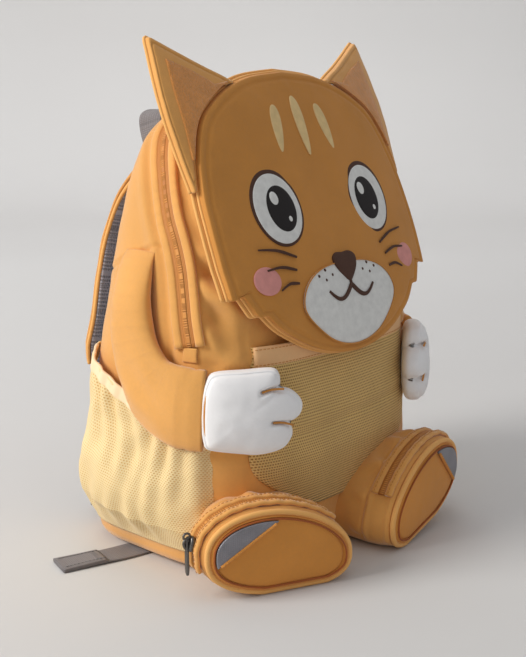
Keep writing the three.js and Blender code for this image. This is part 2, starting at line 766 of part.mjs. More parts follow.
const frontWall = slab(
  frontPocketGrid(0, 1 - hemShare * 0.2, POCKET_WALL),
  frontPocketGrid(0, 1 - hemShare * 0.2, 0),
);
const frontWallSolid = toSolid(frontWall).subtract(bodyEnvelope).subtract(footEnvelopes);
addPart('front_pocket', toGeometry(frontWallSolid), CREAM_MESH);

const forward = (solid, amount) => forwardBy(solid, FORE, amount);
const hemGrid = (lift) => frontPocketGrid(1 - hemShare, 1, lift).filter((_, r) => r % 3 === 0);
const frontHem = toSolid(slab(hemGrid(POCKET_WALL + HEM_THICKNESS), hemGrid(POCKET_WALL * 0.5)))
  .subtract(forward(frontWallSolid, GAP)).subtract(bodyEnvelope);
addPart('front_pocket_hem', toGeometry(frontHem), PEACH_BAND);

// Side pockets: stretch mesh gathered between an elastic hem and the base seam
const SIDE_ROWS = 6;
const SIDE_COLS = 11;

function sidePocketGrid(from, to, lift, start = 0) {
  const rows = [];
  for (let r = 0; r <= SIDE_ROWS; r += 1) {
    const share = lerp(from, to, r / SIDE_ROWS);
    const row = [];
    for (let c = 0; c <= SIDE_COLS; c += 1) {
      const along = lerp(start, 1, c / SIDE_COLS);
      const top = lerp(SIDE_POCKET_FRONT_TOP, SIDE_POCKET_BACK_TOP, along);
      const z = lerp(SIDE_POCKET_BOTTOM, top, share);
      const { middle, deep } = bodySection(z);
      const y = middle + deep * lerp(-SIDE_POCKET_FRONT_SHARE, SIDE_POCKET_BACK_SHARE, along);
      const belly = Math.sin(Math.PI * along ** 1.25) ** 0.6
        * (0.4 + 0.6 * Math.cos(Math.PI * (share - 0.36)) ** 2) * Math.min(share * 5, 1);
      const surface = v3(-sideX(y, z), y, z);
      const normal = bodyNormal(surface);
      row.push(surface.addScaledVector(normal, GAP + SIDE_POCKET_SLACK * belly + lift));
    }
    rows.push(row);
  }
  return rows;
}
const sideHemShare = SIDE_HEM_HEIGHT / (SIDE_POCKET_BACK_TOP - SIDE_POCKET_BOTTOM);
const sideWallTop = 1 - sideHemShare * 0.3;
const sideWall = toSolid(slab(
  sidePocketGrid(0, sideWallTop, POCKET_WALL),
  sidePocketGrid(0, sideWallTop, 0),
)).subtract(bodyEnvelope).subtract(leftFootEnvelope).subtract(armEnvelope);
addPair('side_pocket', toGeometry(sideWall), CREAM_MESH);
const SIDE_HEM_START = 0.5;
const sideHemGrid = (lift) => sidePocketGrid(1 - sideHemShare, 1, lift, SIDE_HEM_START)
  .filter((_, r) => r % 3 === 0);
const sideHem = toSolid(slab(
  sideHemGrid(POCKET_WALL + HEM_THICKNESS),
  sideHemGrid(POCKET_WALL * 0.5),
)).subtract(forwardBy(sideWall, v3(-1, 0, 0), GAP)).subtract(bodyEnvelope).subtract(armEnvelope);
addPair('side_pocket_hem', toGeometry(sideHem), PEACH_BAND);

// Paws: padded mittens that curve round the body's front corner, with three toes
const PAW_TABLE = [
  [0.00, 0.00, 0.93, 0.74],
  [0.10, 0.00, 0.98, 0.84],
  [0.30, 0.01, 1.03, 0.97],
  [0.55, 0.03, 1.06, 1.00],
  [0.78, 0.06, 0.98, 0.94],
  [0.92, 0.08, 0.78, 0.74],
  [1.00, 0.09, 0.45, 0.40],
];
const PAW_TURN_START_DEG = 52;
const PAW_TURN_END_DEG = 36;
const wrist = armFrames(0).at(-1);
const pawFrames = [];
const pawCursor = wrist.point.clone();
let pawCovered = 0;
PAW_TABLE.forEach(([share, drop, wide, thick]) => {
  const turn = toRad(lerp(PAW_TURN_START_DEG, PAW_TURN_END_DEG, Math.min(share * 1.6, 1)));
  const heading = v3(Math.cos(turn), -Math.sin(turn), 0);
  pawCursor.addScaledVector(heading, (share - pawCovered) * PAW_LENGTH + (share ? 0 : GAP * 3));
  pawCovered = share;
  pawFrames.push({
    point: pawCursor.clone().add(v3(0, 0, -drop * ARM_WIDTH)),
    normal: v3(-Math.sin(turn), -Math.cos(turn), 0),
    width: ARM_WIDTH * wide,
    thickness: PAW_THICKNESS * thick,
  });
});
const pawEnd = pawFrames.at(-2);
const toeHeading = v3(Math.cos(toRad(PAW_TURN_END_DEG)), -Math.sin(toRad(PAW_TURN_END_DEG)), 0);
let pawSolid = toSolid(sweep(pawFrames, ovalSection(12)));
[[0.27, -0.14], [0, -0.05], [-0.27, -0.12]].forEach(([rise, reach]) => {
  const toe = new THREE.SphereGeometry(1, 8, 6);
  toe.scale(ARM_WIDTH * 0.27, PAW_THICKNESS * 0.46, ARM_WIDTH * 0.2);
  toe.rotateZ(-toRad(PAW_TURN_END_DEG));
  const at = pawEnd.point.clone().addScaledVector(toeHeading, reach * ARM_WIDTH)
    .add(v3(0, 0, rise * ARM_WIDTH));
  toe.translate(at.x, at.y, at.z);
  pawSolid = pawSolid.add(toSolid(toe));
});
const frontLayers = forward(frontWallSolid, GAP).add(forward(frontHem, GAP));
pawSolid = pawSolid.subtract(bodyEnvelope).subtract(frontLayers).subtract(armEnvelope)
  .subtract(forwardBy(sideWall, v3(-1, 0, 0), GAP));
addPair('paw', toGeometry(pawSolid), WHITE_FABRIC);

// Head: a padded face panel on a backing, leaning back along the body's front
const HEAD_BOTTOM = HEAD_TOP - HEAD_HEIGHT;
const HEAD_STANDOFF = [
  [0.00, 0.055],
  [0.13, 0.050],
  [0.24, 0.041],
  [0.36, 0.025],
  [0.52, 0.011],
  [0.69, 0.005],
  [1.00, 0.005],
];
const HEAD_ARCH = [
  [0.00, 1.000], [0.31, 0.983], [0.52, 0.949], [0.70, 0.895], [0.833, 0.831],
  [0.93, 0.725], [0.985, 0.600], [1.00, 0.480], [1.00, 0.350],
];
const CHEEK_TUFTS = [[0.985, 0.247], [0.895, 0.262], [0.819, 0.185], [0.745, 0.186]];
const CHIN = [[0.745, 0.186], [0.64, 0.124], [0.42, 0.052], [0.2, 0.012], [0, 0]];

const curveThrough = (points, count) => (
  new THREE.SplineCurve(points.map(([a, b]) => new THREE.Vector2(a, b)))
    .getPoints(count).map((p) => [p.x, p.y]));

const headHalf = [
  ...curveThrough(HEAD_ARCH, 12),
  ...CHEEK_TUFTS.slice(0, 3),
  ...curveThrough(CHIN, 6),
];
const headRight = headHalf.map(([a, b]) => [
  a * HEAD_WIDTH / 2, HEAD_BOTTOM + b * HEAD_HEIGHT]);
const headLeft = headRight.slice(1, -1).reverse().map(([x, z]) => [-x, z]);
const headOutline = [...headRight, ...headLeft];
const HEAD_CENTRE = [0, HEAD_BOTTOM + HEAD_HEIGHT * 0.5];

function bodyFrontLine(z) {
  const front = (share) => tableAt(BODY_TABLE, COL_FRONT, share) * BODY_DEPTH;
  const share = z / BODY_HEIGHT;
  const near = 0.965;
  if (share <= 1) return front(share);
  return front(1) + (front(1) - front(near)) / (1 - near) * (share - 1);
}

// Back of the head at a place in front view, and a point at a height in front of it
function headPlane(x, z) {
  const share = (z - HEAD_BOTTOM) / HEAD_HEIGHT;
  const standoff = tableAt(HEAD_STANDOFF, 1, share) * HEAD_HEIGHT;
  const swept = HEAD_SIDE_SWEEP * (1 - 0.5 * share) * Math.abs(x / (HEAD_WIDTH / 2)) ** 2.5;
  return bodyFrontLine(z) - GAP - standoff + swept;
}
const onHead = (x, z, out) => v3(x, headPlane(x, z) - out, z);

const backingShare = 1 + HEAD_BACKING_RIM / (HEAD_WIDTH / 2);
const headBacking = pad(headOutline, HEAD_CENTRE, onHead, [
  [0, 0], [0.5, 0], [backingShare, 0],
  [backingShare, HEAD_BACKING_THICKNESS], [0.99, HEAD_BACKING_THICKNESS],
  [0.5, HEAD_BACKING_THICKNESS], [0, HEAD_BACKING_THICKNESS],
]);
const panelBack = HEAD_BACKING_THICKNESS + GAP;
const faceHeight = panelBack + HEAD_PADDING;
const headPanel = pad(headOutline, HEAD_CENTRE, onHead, [
  [0, panelBack], [0.5, panelBack], [0.99, panelBack], [1, panelBack + HEAD_PADDING * 0.5],
  [0.975, panelBack + HEAD_PADDING * 0.85], [0.9, faceHeight], [0.62, faceHeight],
  [0.34, faceHeight], [0, faceHeight],
]);
const backingCutter = bodyEnvelope.add(movedBy(toSolid(headPanel), BACK, GAP));
addPart('head_backing', cutBy(headBacking, backingCutter), ORANGE_LIGHT);
addPart('head_panel', headPanel, ORANGE);

// Ears: padded, sewn to the head's rim, each with a plush patch
const EAR_OUTLINE = [
  [0.44, 0.900], [0.50, 0.950], [0.66, 1.012], [0.83, 1.066], [0.97, 1.105], [1.01, 1.100],
  [1.045, 1.000], [1.06, 0.860], [1.045, 0.720], [1.01, 0.600], [0.90, 0.620], [0.62, 0.760],
];
const EAR_CENTRE = [0.87, 0.90];
const earScale = EAR_TIP_RISE / HEAD_HEIGHT / 0.107;
const earMid = faceHeight / 2;
const earPlace = ([a, b]) => {
  const z = b > 1 ? 1 + (b - 1) * earScale : b;
  return [-a * HEAD_WIDTH / 2, HEAD_BOTTOM + z * HEAD_HEIGHT];
};
const headCutShare = backingShare + GAP / (HEAD_WIDTH / 2) * 1.4;
const headCutter = toSolid(pad(headOutline, HEAD_CENTRE, onHead, [
  [0, -EAR_THICKNESS], [headCutShare, -EAR_THICKNESS],
  [headCutShare, faceHeight + EAR_THICKNESS * 2], [0, faceHeight + EAR_THICKNESS * 2],
]));
const earLow = earMid - EAR_THICKNESS / 2;
const earHigh = earMid + EAR_THICKNESS / 2;
const earOutline = EAR_OUTLINE.map(earPlace);
const ear = pad(earOutline, earPlace(EAR_CENTRE), onHead, [
  [0, earLow], [0.9, earLow], [1, earMid], [0.95, earHigh - 0.6], [0.8, earHigh], [0, earHigh],
]);
const earSolid = toSolid(ear).subtract(headCutter).subtract(bodyEnvelope);
addPair('ear', toGeometry(earSolid), ORANGE);
const innerEar = pad(earOutline, earPlace(EAR_CENTRE), onHead, [
  [0, earHigh - 0.8], [0.76, earHigh - 0.8], [0.76, earHigh + INNER_EAR_THICKNESS * 0.6],
  [0.6, earHigh + INNER_EAR_THICKNESS], [0, earHigh + INNER_EAR_THICKNESS],
]);
const innerEarSolid = toSolid(innerEar).subtract(movedBy(earSolid, FORE, GAP))
  .subtract(headCutter);
addPair('inner_ear', toGeometry(innerEarSolid), TAN_PLUSH);

// Face patches: the first layer lies on the padded panel, the second on the first
let faceCutter = movedBy(toSolid(headPanel), FORE, GAP);
let layerLow = faceHeight - HEAD_PADDING * 0.4;
const layerHigh = (level) => faceHeight + level * (PATCH_THICKNESS + GAP);
const firstLayer = [];

function facePatch(name, outline, level, finish) {
  const centre = outline.reduce((s, p) => [
    s[0] + p[0] / outline.length, s[1] + p[1] / outline.length], [0, 0]);
  const high = layerHigh(level);
  const solid = toSolid(pad(outline, centre, onHead, [
    [0, layerLow], [1, layerLow], [1, high - PATCH_THICKNESS * 0.25], [0.9, high], [0, high],
  ])).subtract(faceCutter);
  addPart(name, toGeometry(solid), finish);
  firstLayer.push(solid);
}
function closeLayer() {
  faceCutter = firstLayer.slice(1).reduce((sum, solid) => sum.add(solid), firstLayer[0]);
  faceCutter = movedBy(faceCutter, FORE, GAP);
  layerLow = faceHeight + GAP + PATCH_THICKNESS * 0.5;
}
const oval = (x, z, width, height, count) => Array.from({ length: count }, (_, k) => {
  const angle = k / count * Math.PI * 2;
  return [x + width / 2 * Math.cos(angle), z + height / 2 * Math.sin(angle)];
});

// Muzzle: two cheeks over a round chin
const muzzleTop = HEAD_BOTTOM + HEAD_HEIGHT * 0.03 + MUZZLE_HEIGHT;
const muzzleOutline = Array.from({ length: 28 }, (_, k) => {
  const angle = k / 28 * Math.PI * 2;
  const cheek = 1 - 0.16 * Math.max(Math.sin(angle), 0) ** 8 - 0.2 * Math.max(-Math.sin(angle), 0);
  return [
    MUZZLE_WIDTH / 2 * Math.cos(angle) * (Math.sin(angle) < 0 ? 0.86 : 1),
    muzzleTop - MUZZLE_HEIGHT / 2 + MUZZLE_HEIGHT / 2 * Math.sin(angle) * cheek,
  ];
});
facePatch('muzzle', muzzleOutline, 1, WHITE_FABRIC);
SIDES.forEach(([name, side]) => {
  facePatch(
    `eye_${name}`,
    oval(side * EYE_SPACING / 2, EYE_HEIGHT, EYE_DIAMETER, EYE_DIAMETER * 1.08, 20),
    1,
    WHITE_FABRIC,
  );
  facePatch(
    `cheek_patch_${name}`,
    oval(side * HEAD_WIDTH * 0.355, muzzleTop - 8, CHEEK_DIAMETER, CHEEK_DIAMETER * 0.8, 14),
    1,
    PINK_PATCH,
  );
});
[-1, 0, 1].forEach((place, i) => {
  const length = STRIPE_LENGTH * (place ? 0.78 : 1);
  const top = HEAD_TOP - HEAD_HEIGHT * (place ? 0.115 : 0.085);
  const outline = oval(0, 0, STRIPE_WIDTH, length, 14).map(([a, b]) => {
    const lean = -place * 0.14;
    return [place * STRIPE_WIDTH * 2 + a * (0.75 + b / length * 0.5) - b * lean,
      top - length / 2 + b];
  });
  facePatch(`forehead_stripe_${['left', 'middle', 'right'][i]}`, outline, 1, CREAM_PATCH);
});
closeLayer();
SIDES.forEach(([name, side]) => {
  facePatch(
    `pupil_${name}`,
    oval(side * (EYE_SPACING / 2 - 2), EYE_HEIGHT - 1, PUPIL_DIAMETER, PUPIL_DIAMETER * 1.12, 16),
    2,
    BLACK_PATCH,
  );
});
const noseTop = muzzleTop + 2;
const NOSE_SHARES = [
  [-0.5, 0.02], [-0.42, -0.14], [-0.2, -0.42], [0, -0.56], [0.2, -0.42], [0.42, -0.14],
  [0.5, 0.02], [0.4, 0.14], [0, 0.17], [-0.4, 0.14],
];
facePatch(
  'nose',
  NOSE_SHARES.map(([a, b]) => [a * NOSE_WIDTH, noseTop - 4 + b * NOSE_WIDTH]),
  2,
  BROWN_PATCH,
);
// Mouth: a stitched line that curls down from the nose to both sides
const mouthY = noseTop - 4 - NOSE_WIDTH * 0.56;
const mouthLine = Array.from({ length: 13 }, (_, i) => {
  const across = lerp(-1, 1, i / 12);
  const curl = Math.abs(Math.sin(Math.abs(across) * Math.PI * 0.92));
  return [across * MOUTH_WIDTH / 2, mouthY - 2.5 - curl * 8];
});
const mouthFrames = mouthLine.map(([x, z]) => ({
  point: onHead(x, z, (layerLow + layerHigh(2)) / 2),
  normal: FORE,
  width: MOUTH_LINE,
  thickness: layerHigh(2) - layerLow,
}));
const mouthSolid = mainBody(toSolid(sweep(mouthFrames, FLAT_SECTION))
  .subtract(faceCutter.add(movedBy(faceCutter, BACK, GAP))));
addPart('mouth', toGeometry(mouthSolid), BROWN_PATCH);

// Main zip slider on the right with its knotted cord
const pullHeight = ZIP_END_HEIGHT + 8;
const sliderAt = zipPoint(pullHeight, 1);
const sliderNormal = bodyNormal(sliderAt);
const mainSlider = [-0.5, 0, 0.5].map((share) => ({
  point: zipPoint(pullHeight + share * SLIDER_LENGTH, 1)
    .addScaledVector(sliderNormal, SLIDER_HEIGHT / 2 + GAP),
  normal: sliderNormal,
  width: SLIDER_WIDTH,
  thickness: SLIDER_HEIGHT,
}));
const mainSliderSolid = toSolid(sweep(mainSlider, FLAT_SECTION)).subtract(bodyEnvelope);
addPart('main_zip_slider', toGeometry(mainSliderSolid), DARK_METAL);
const cordTop = sliderAt.clone()
  .addScaledVector(sliderNormal, SLIDER_HEIGHT + 2 * GAP + KNOT_RADIUS);
const cord = toSolid(rod(CORD_PULL_RADIUS, CORD_PULL_LENGTH, 8).rotateX(Math.PI / 2)
  .translate(cordTop.x, cordTop.y, cordTop.z - CORD_PULL_LENGTH / 2));
const knot = toSolid(new THREE.SphereGeometry(KNOT_RADIUS, 10, 7)
  .translate(cordTop.x, cordTop.y, cordTop.z));
addPart('zip_cord_pull', toGeometry(cord.add(knot)), ORANGE_DEEP);

// Back pad: spacer mesh over the wearer's side
const PAD_COLS = 8;
const PAD_ROWS = 6;

function backPadGrid(lift) {
  const rows = [];
  for (let r = 0; r <= PAD_ROWS; r += 1) {
    const climb = r / PAD_ROWS;
    const z = lerp(BACK_PAD_BOTTOM, BACK_PAD_TOP, climb);
    const row = [];
    for (let c = 0; c <= PAD_COLS; c += 1) {
      const across = lerp(-1, 1, c / PAD_COLS);
      const narrow = 1 - 0.16 * climb ** 3;
      const x = across * narrow * BACK_PAD_WIDTH / 2;
      const rim = Math.min(1, (1 - Math.abs(across)) * 7, climb * 9, (1 - climb) * 9);
      row.push(v3(x, backY(x, z, GAP) + lift * (0.25 + 0.75 * Math.sqrt(rim)), z));
    }
    rows.push(row);
  }
  return rows;
}
const backPad = slab(backPadGrid(0), backPadGrid(BACK_PAD_THICKNESS));
addPart('back_pad', cutBy(backPad, bodyEnvelope), GREY_MESH);

// Shoulder straps: padded, from the back's top edge to the buckles
const STRAP_TABLE = [
  [1.00, 0.72, -0.10],
  [0.93, 0.74, 0.22],
  [0.80, 0.80, 0.78],
  [0.62, 0.88, 1.00],
  [0.44, 0.96, 0.92],
  [0.24, 1.05, 0.68],
  [0.10, 1.09, 0.69],
  [0.00, 1.10, 0.70],
];
const backLine = (z) => tableAt(BODY_TABLE, COL_BACK, z / BODY_HEIGHT) * BODY_DEPTH;
const strapReach = BACK_PAD_THICKNESS + STRAP_STANDOFF;
const strapLine = new THREE.CatmullRomCurve3(STRAP_TABLE.map(([climb, wide, off]) => {
  const z = lerp(STRAP_END_HEIGHT, STRAP_TOP, climb);
  const y = backLine(z) + GAP + strapReach * off + STRAP_THICKNESS / 2;
  return v3(-wide * STRAP_SPACING / 2, y, z);
}));
const STRAP_STEPS = 14;
const strapFrames = strapLine.getPoints(STRAP_STEPS).map((point, i) => {
  const end = Math.min(i, STRAP_STEPS - i) / 2;
  return {
    point,
    normal: v3(0, 1, 0),
    width: STRAP_WIDTH * (0.86 + 0.14 * Math.min(end, 1)),
    thickness: STRAP_THICKNESS * (0.6 + 0.4 * Math.min(end, 1)),
  };
});
const strap = toSolid(sweep(strapFrames, PADDED_SECTION)).subtract(bodyEnvelope);
addPair('shoulder_strap', toGeometry(strap), ORANGE);

// Buckle plate below each strap, with two slots
const strapEnd = strapLine.getPoint(1);
const lockShape = new THREE.Shape();
const lockHole = (low, high) => {
  const hole = new THREE.Path();
  const half = LOCK_WIDTH / 2 - LOCK_BAR;
  hole.moveTo(-half, low);
  hole.lineTo(half, low);
  hole.lineTo(half, high);
  hole.lineTo(-half, high);
  hole.closePath();
  return hole;
};
const lockHalf = LOCK_HEIGHT / 2;
lockShape.moveTo(-LOCK_WIDTH / 2, -lockHalf);
lockShape.lineTo(LOCK_WIDTH / 2, -lockHalf);
lockShape.lineTo(LOCK_WIDTH / 2, lockHalf);
lockShape.lineTo(-LOCK_WIDTH / 2, lockHalf);
lockShape.closePath();
lockShape.holes.push(lockHole(-lockHalf + LOCK_BAR, -LOCK_BAR / 2));
lockShape.holes.push(lockHole(LOCK_BAR / 2, lockHalf - LOCK_BAR));
const lockAt = strapEnd.clone().add(v3(0, 0, -lockHalf - 3 * GAP));
const lock = new THREE.ExtrudeGeometry(lockShape, { depth: LOCK_THICKNESS, bevelEnabled: false })
  .translate(0, 0, -LOCK_THICKNESS / 2).rotateX(Math.PI / 2)
  .translate(lockAt.x, lockAt.y, lockAt.z);
addPair('strap_buckle', toGeometry(toSolid(lock)), GREY_PLASTIC);

// Webbing: from the base corner up through the buckle, then down as a free tail
const barZ = lockAt.z - lockHalf + LOCK_BAR / 2;
const turnRadius = LOCK_BAR / 2 * Math.SQRT2 + GAP + WEBBING_THICKNESS;
const webbingRise = WEBBING_THICKNESS / 2 + 0.1;
const anchorZ = 13;
const anchorX = -BODY_WIDTH * 0.37;
const riser = [
  [anchorX, backY(anchorX + WEBBING_WIDTH / 2, anchorZ, GAP) + WEBBING_THICKNESS, anchorZ, FORE],
  [anchorX * 0.99, backY(anchorX + WEBBING_WIDTH / 2, 26, GAP) + 2.5, 26, FORE],
  [anchorX * 0.94, lockAt.y - 2, BACK_PAD_BOTTOM - 6, FORE],
  [lockAt.x, lockAt.y - turnRadius, barZ - 8, FORE],
  [lockAt.x, lockAt.y - turnRadius, barZ, FORE],
];
const turnOver = [45, 90, 135].map((deg) => [
  lockAt.x,
  lockAt.y - turnRadius * Math.cos(toRad(deg)),
  barZ + turnRadius * Math.sin(toRad(deg)),
  v3(0, -Math.cos(toRad(deg)), Math.sin(toRad(deg))),
]);
const fallY = lockAt.y + turnRadius;
const fall = [
  [lockAt.x, fallY, barZ, BACK],
  [lockAt.x, fallY + 1, barZ - 20, BACK],
  [lockAt.x * 0.99, fallY + 3, barZ - 48, BACK],
];
const frames = (rows, extra) => rows.map(([x, y, z, normal]) => ({
  point: v3(x, y, z),
  normal,
  width: WEBBING_WIDTH + 2 * extra,
  thickness: WEBBING_THICKNESS + 2 * extra,
}));
// The left tail runs out under the base, where the cloth gives way for it
const TAIL_EXIT_X = -BODY_WIDTH * 0.5;
const landing = [
  [lockAt.x * 0.98, fallY + 3, 14, BACK],
  [lockAt.x * 0.97, fallY + 1, 5, v3(0, 0.8, 0.6)],
  [lockAt.x * 0.96, fallY - 4, webbingRise + 0.8, v3(0, 0.25, 0.97)],
  [lockAt.x * 0.95, fallY - 12, webbingRise, UP],
  [lockAt.x * 0.93, BODY_DEPTH * 0.40, webbingRise, UP],
  [lockAt.x * 0.93, BODY_DEPTH * 0.24, webbingRise, UP],
  [lockAt.x * 0.99, BODY_DEPTH * 0.13, webbingRise, UP],
  [lockAt.x * 1.14, BODY_DEPTH * 0.085, webbingRise, UP],
  [lockAt.x * 1.36, BODY_DEPTH * 0.095, webbingRise, UP],
  [TAIL_EXIT_X, BODY_DEPTH * 0.135, webbingRise, UP],
  [TAIL_EXIT_X - 24, BODY_DEPTH * 0.185, webbingRise, UP],
  [TAIL_EXIT_X - 46, BODY_DEPTH * 0.235, webbingRise, UP],
];
const leftRun = [...riser, ...turnOver, ...fall, ...landing];
const hanging = [[lockAt.x * 0.98, fallY + 4, barZ - 70, BACK]];
const rightRun = [...riser, ...turnOver, ...fall, ...hanging];
const webbingLeft = toSolid(sweep(frames(leftRun, 0), FLAT_SECTION));
addPart('strap_webbing_left', toGeometry(webbingLeft), GREY_WEBBING);
const webbingRight = mirrored(sweep(frames(rightRun, 0), FLAT_SECTION));
addPart('strap_webbing_right', webbingRight, GREY_WEBBING);

// Base panel: the flat bottom that the bag stands on, grooved where the tail passes
const BASE_RINGS = [[0, 0.99], [0.5, 1.02], [1, 1.03]];
const baseRings = BASE_RINGS.map(([height, scale]) => {
  const { middle } = bodySection(0);
  return bodyRing(0, 0, BODY_SEGMENTS).map((p) => v3(
    p.x * scale,
    middle + (p.y - middle) * scale,
    height * BASE_PANEL_THICKNESS,
  ));
});
const tailGroove = toSolid(sweep(frames(landing.slice(2), GAP), FLAT_SECTION));
const basePanel = toSolid(skin(baseRings)).subtract(tailGroove)
  .subtract(footEnvelopes);
addPart('base_panel', toGeometry(basePanel), ORANGE);

// Grab loop at the top of the back
const loopHalf = LOOP_SPAN / 2;
const loopFoot = LOOP_TOP - 28;
const loopY = backY(loopHalf, loopFoot) + WEBBING_WIDTH / 2 - 2;
const loopLeft = [
  [-loopHalf + 1, loopY, loopFoot, v3(-1, 0, 0)],
  [-loopHalf, loopY + LOOP_LEAN * 0.5, LOOP_TOP - 14, v3(-1, 0, 0)],
  [-loopHalf + 2, loopY + LOOP_LEAN * 0.8, LOOP_TOP - 5, v3(-0.9, 0, 0.4)],
  [-loopHalf + 7, loopY + LOOP_LEAN, LOOP_TOP - 1, v3(-0.45, 0, 0.9)],
  [-loopHalf + 15, loopY + LOOP_LEAN, LOOP_TOP, v3(0, 0, 1)],
  [-loopHalf + 30, loopY + LOOP_LEAN, LOOP_TOP - 2, v3(0, 0, 1)],
];
const loopRight = loopLeft.slice().reverse()
  .map(([x, y, z, n]) => [-x, y, z, v3(-n.x, n.y, n.z)]);
const grabLoop = toSolid(sweep(
  frames([...loopLeft, [0, loopY + LOOP_LEAN, LOOP_TOP - 3, v3(0, 0, 1)], ...loopRight], 0),
  FLAT_SECTION,
)).subtract(bodyEnvelope);
addPart('grab_loop', toGeometry(grabLoop), GREY_WEBBING);

export default group;
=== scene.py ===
"""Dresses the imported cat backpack: padded cloth, stretch mesh, zips, webbing and sewn details.
Lengths in this file are millimetres until a point goes into a mesh, where MM turns them to metres.
"""

import math

import bmesh
import bpy
from mathutils import Matrix, Vector, noise


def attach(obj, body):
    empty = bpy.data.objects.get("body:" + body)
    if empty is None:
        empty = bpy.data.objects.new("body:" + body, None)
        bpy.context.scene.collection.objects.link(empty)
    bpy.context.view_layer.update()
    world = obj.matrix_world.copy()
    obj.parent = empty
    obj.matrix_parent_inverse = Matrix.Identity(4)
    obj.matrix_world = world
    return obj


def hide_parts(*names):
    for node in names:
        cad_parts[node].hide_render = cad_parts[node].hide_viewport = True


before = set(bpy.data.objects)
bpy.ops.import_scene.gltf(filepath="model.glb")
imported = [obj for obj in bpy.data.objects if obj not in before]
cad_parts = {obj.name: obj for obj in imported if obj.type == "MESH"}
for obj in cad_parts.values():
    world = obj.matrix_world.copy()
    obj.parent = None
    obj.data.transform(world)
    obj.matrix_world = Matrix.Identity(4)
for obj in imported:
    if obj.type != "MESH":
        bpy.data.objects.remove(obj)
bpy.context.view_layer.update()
MM = 0.001
JOIN = 0.00005
FRONT, BACK = Vector((0, -1, 0)), Vector((0, 1, 0))

# Sizes shared with the solids
BODY_WIDTH, BODY_DEPTH, BODY_HEIGHT = 222, 150, 299
SQUARENESS = 4
BODY_BOTTOM = 4.35
GAP = 0.35
HEAD_WIDTH, HEAD_HEIGHT, HEAD_TOP = 204, 178, 315
HEAD_BOTTOM = HEAD_TOP - HEAD_HEIGHT
BACKING, PADDING = 2.4, 6.5
PANEL_BACK = BACKING + GAP
FACE = PANEL_BACK + PADDING
SIDES = (("left", -1), ("right", 1))
PULLER_PIVOTS = {"left": (-134.115, -60.408, 40.979), "right": (106.816, -90.186, 37.197)}
PULLER_AXES = {"left": (0.421036, 0.907044, 0.0), "right": (0.121869, -0.992546, 0.0)}

BODY_TABLE = (
    (0.000, 0.900, -0.440, 0.500), (0.012, 0.950, -0.462, 0.522),
    (0.040, 0.985, -0.475, 0.535), (0.120, 1.000, -0.478, 0.540),
    (0.250, 1.000, -0.472, 0.530), (0.400, 0.998, -0.458, 0.490),
    (0.520, 0.985, -0.438, 0.440), (0.620, 0.960, -0.405, 0.395),
    (0.700, 0.930, -0.362, 0.362), (0.760, 0.900, -0.322, 0.340),
    (0.830, 0.845, -0.266, 0.316), (0.890, 0.765, -0.216, 0.295),
    (0.930, 0.680, -0.181, 0.275), (0.965, 0.560, -0.150, 0.250),
    (0.988, 0.420, -0.128, 0.225), (1.000, 0.250, -0.115, 0.195),
)
ZIP_LINE = (
    (0.500, -0.255), (0.560, -0.230), (0.640, -0.200), (0.700, -0.160), (0.765, -0.095),
    (0.830, -0.035), (0.890, 0.030), (0.930, 0.070), (1.000, 0.090),
)
ZIP_END = 150
HEAD_STANDOFF = (
    (0.00, 0.055), (0.13, 0.050), (0.24, 0.041), (0.36, 0.025), (0.52, 0.011),
    (0.69, 0.005), (1.00, 0.005),
)
HEAD_ARCH = (
    (0.00, 1.000), (0.31, 0.983), (0.52, 0.949), (0.70, 0.895), (0.833, 0.831),
    (0.93, 0.725), (0.985, 0.600), (1.00, 0.480), (1.00, 0.350),
)
TUFTS = ((0.985, 0.247), (0.895, 0.262), (0.819, 0.185))
CHIN = ((0.745, 0.186), (0.64, 0.124), (0.42, 0.052), (0.2, 0.012), (0.0, 0.0))


def lerp(a, b, t):
    return a + (b - a) * t


def clamp(x, low=0.0, high=1.0):
    return max(low, min(high, x))


def ease(low, high, x):
    t = clamp((x - low) / (high - low))
    return t * t * (3 - 2 * t)


def bump(x, width):
    return math.exp(-((x / width) ** 2))


def signed_power(x, power):
    return math.copysign(abs(x) ** power, x)


def squarish(turn, power):
    """A point on a closed curve between a circle, power 1, and a square, power 0."""
    return signed_power(math.cos(turn), power), signed_power(math.sin(turn), power)


def rumple(point, size, seed=0.0):
    """Smooth noise from -1 to 1 with features of that many millimetres."""
    return noise.noise(Vector(point) / size + Vector((seed, seed * 1.7, seed * 0.6)))


def table_at(table, column, t):
    """Smooth value of one column at t."""
    last = len(table) - 1
    i = 0
    while i < last - 1 and t > table[i + 1][0]:
        i += 1
    a, b = table[i], table[i + 1]
    u = clamp((t - a[0]) / (b[0] - a[0]))
    before, after = table[max(i - 1, 0)], table[min(i + 2, last)]
    span = b[0] - a[0]
    slope_a = (b[column] - before[column]) / (b[0] - before[0]) * span
    slope_b = (after[column] - a[column]) / (after[0] - a[0]) * span
    rise = a[column] - b[column]
    return (a[column] + slope_a * u + (-3 * rise - 2 * slope_a - slope_b) * u * u
            + (2 * rise + slope_a + slope_b) * u ** 3)


def through(points, count):
    """Smooth line through points, as count + 1 points."""
    made = []
    last = len(points) - 1
    for k in range(count + 1):
        t = k / count * last
        i = min(int(t), last - 1)
        u = t - i
        p0, p1 = points[max(i - 1, 0)], points[i]
        p2, p3 = points[i + 1], points[min(i + 2, last)]
        made.append(tuple(
            0.5 * (2 * b + (c - a) * u + (2 * a - 5 * b + 4 * c - d) * u * u
                   + (3 * b - a - 3 * c + d) * u ** 3)
            for a, b, c, d in zip(p0, p1, p2, p3)))
    return made


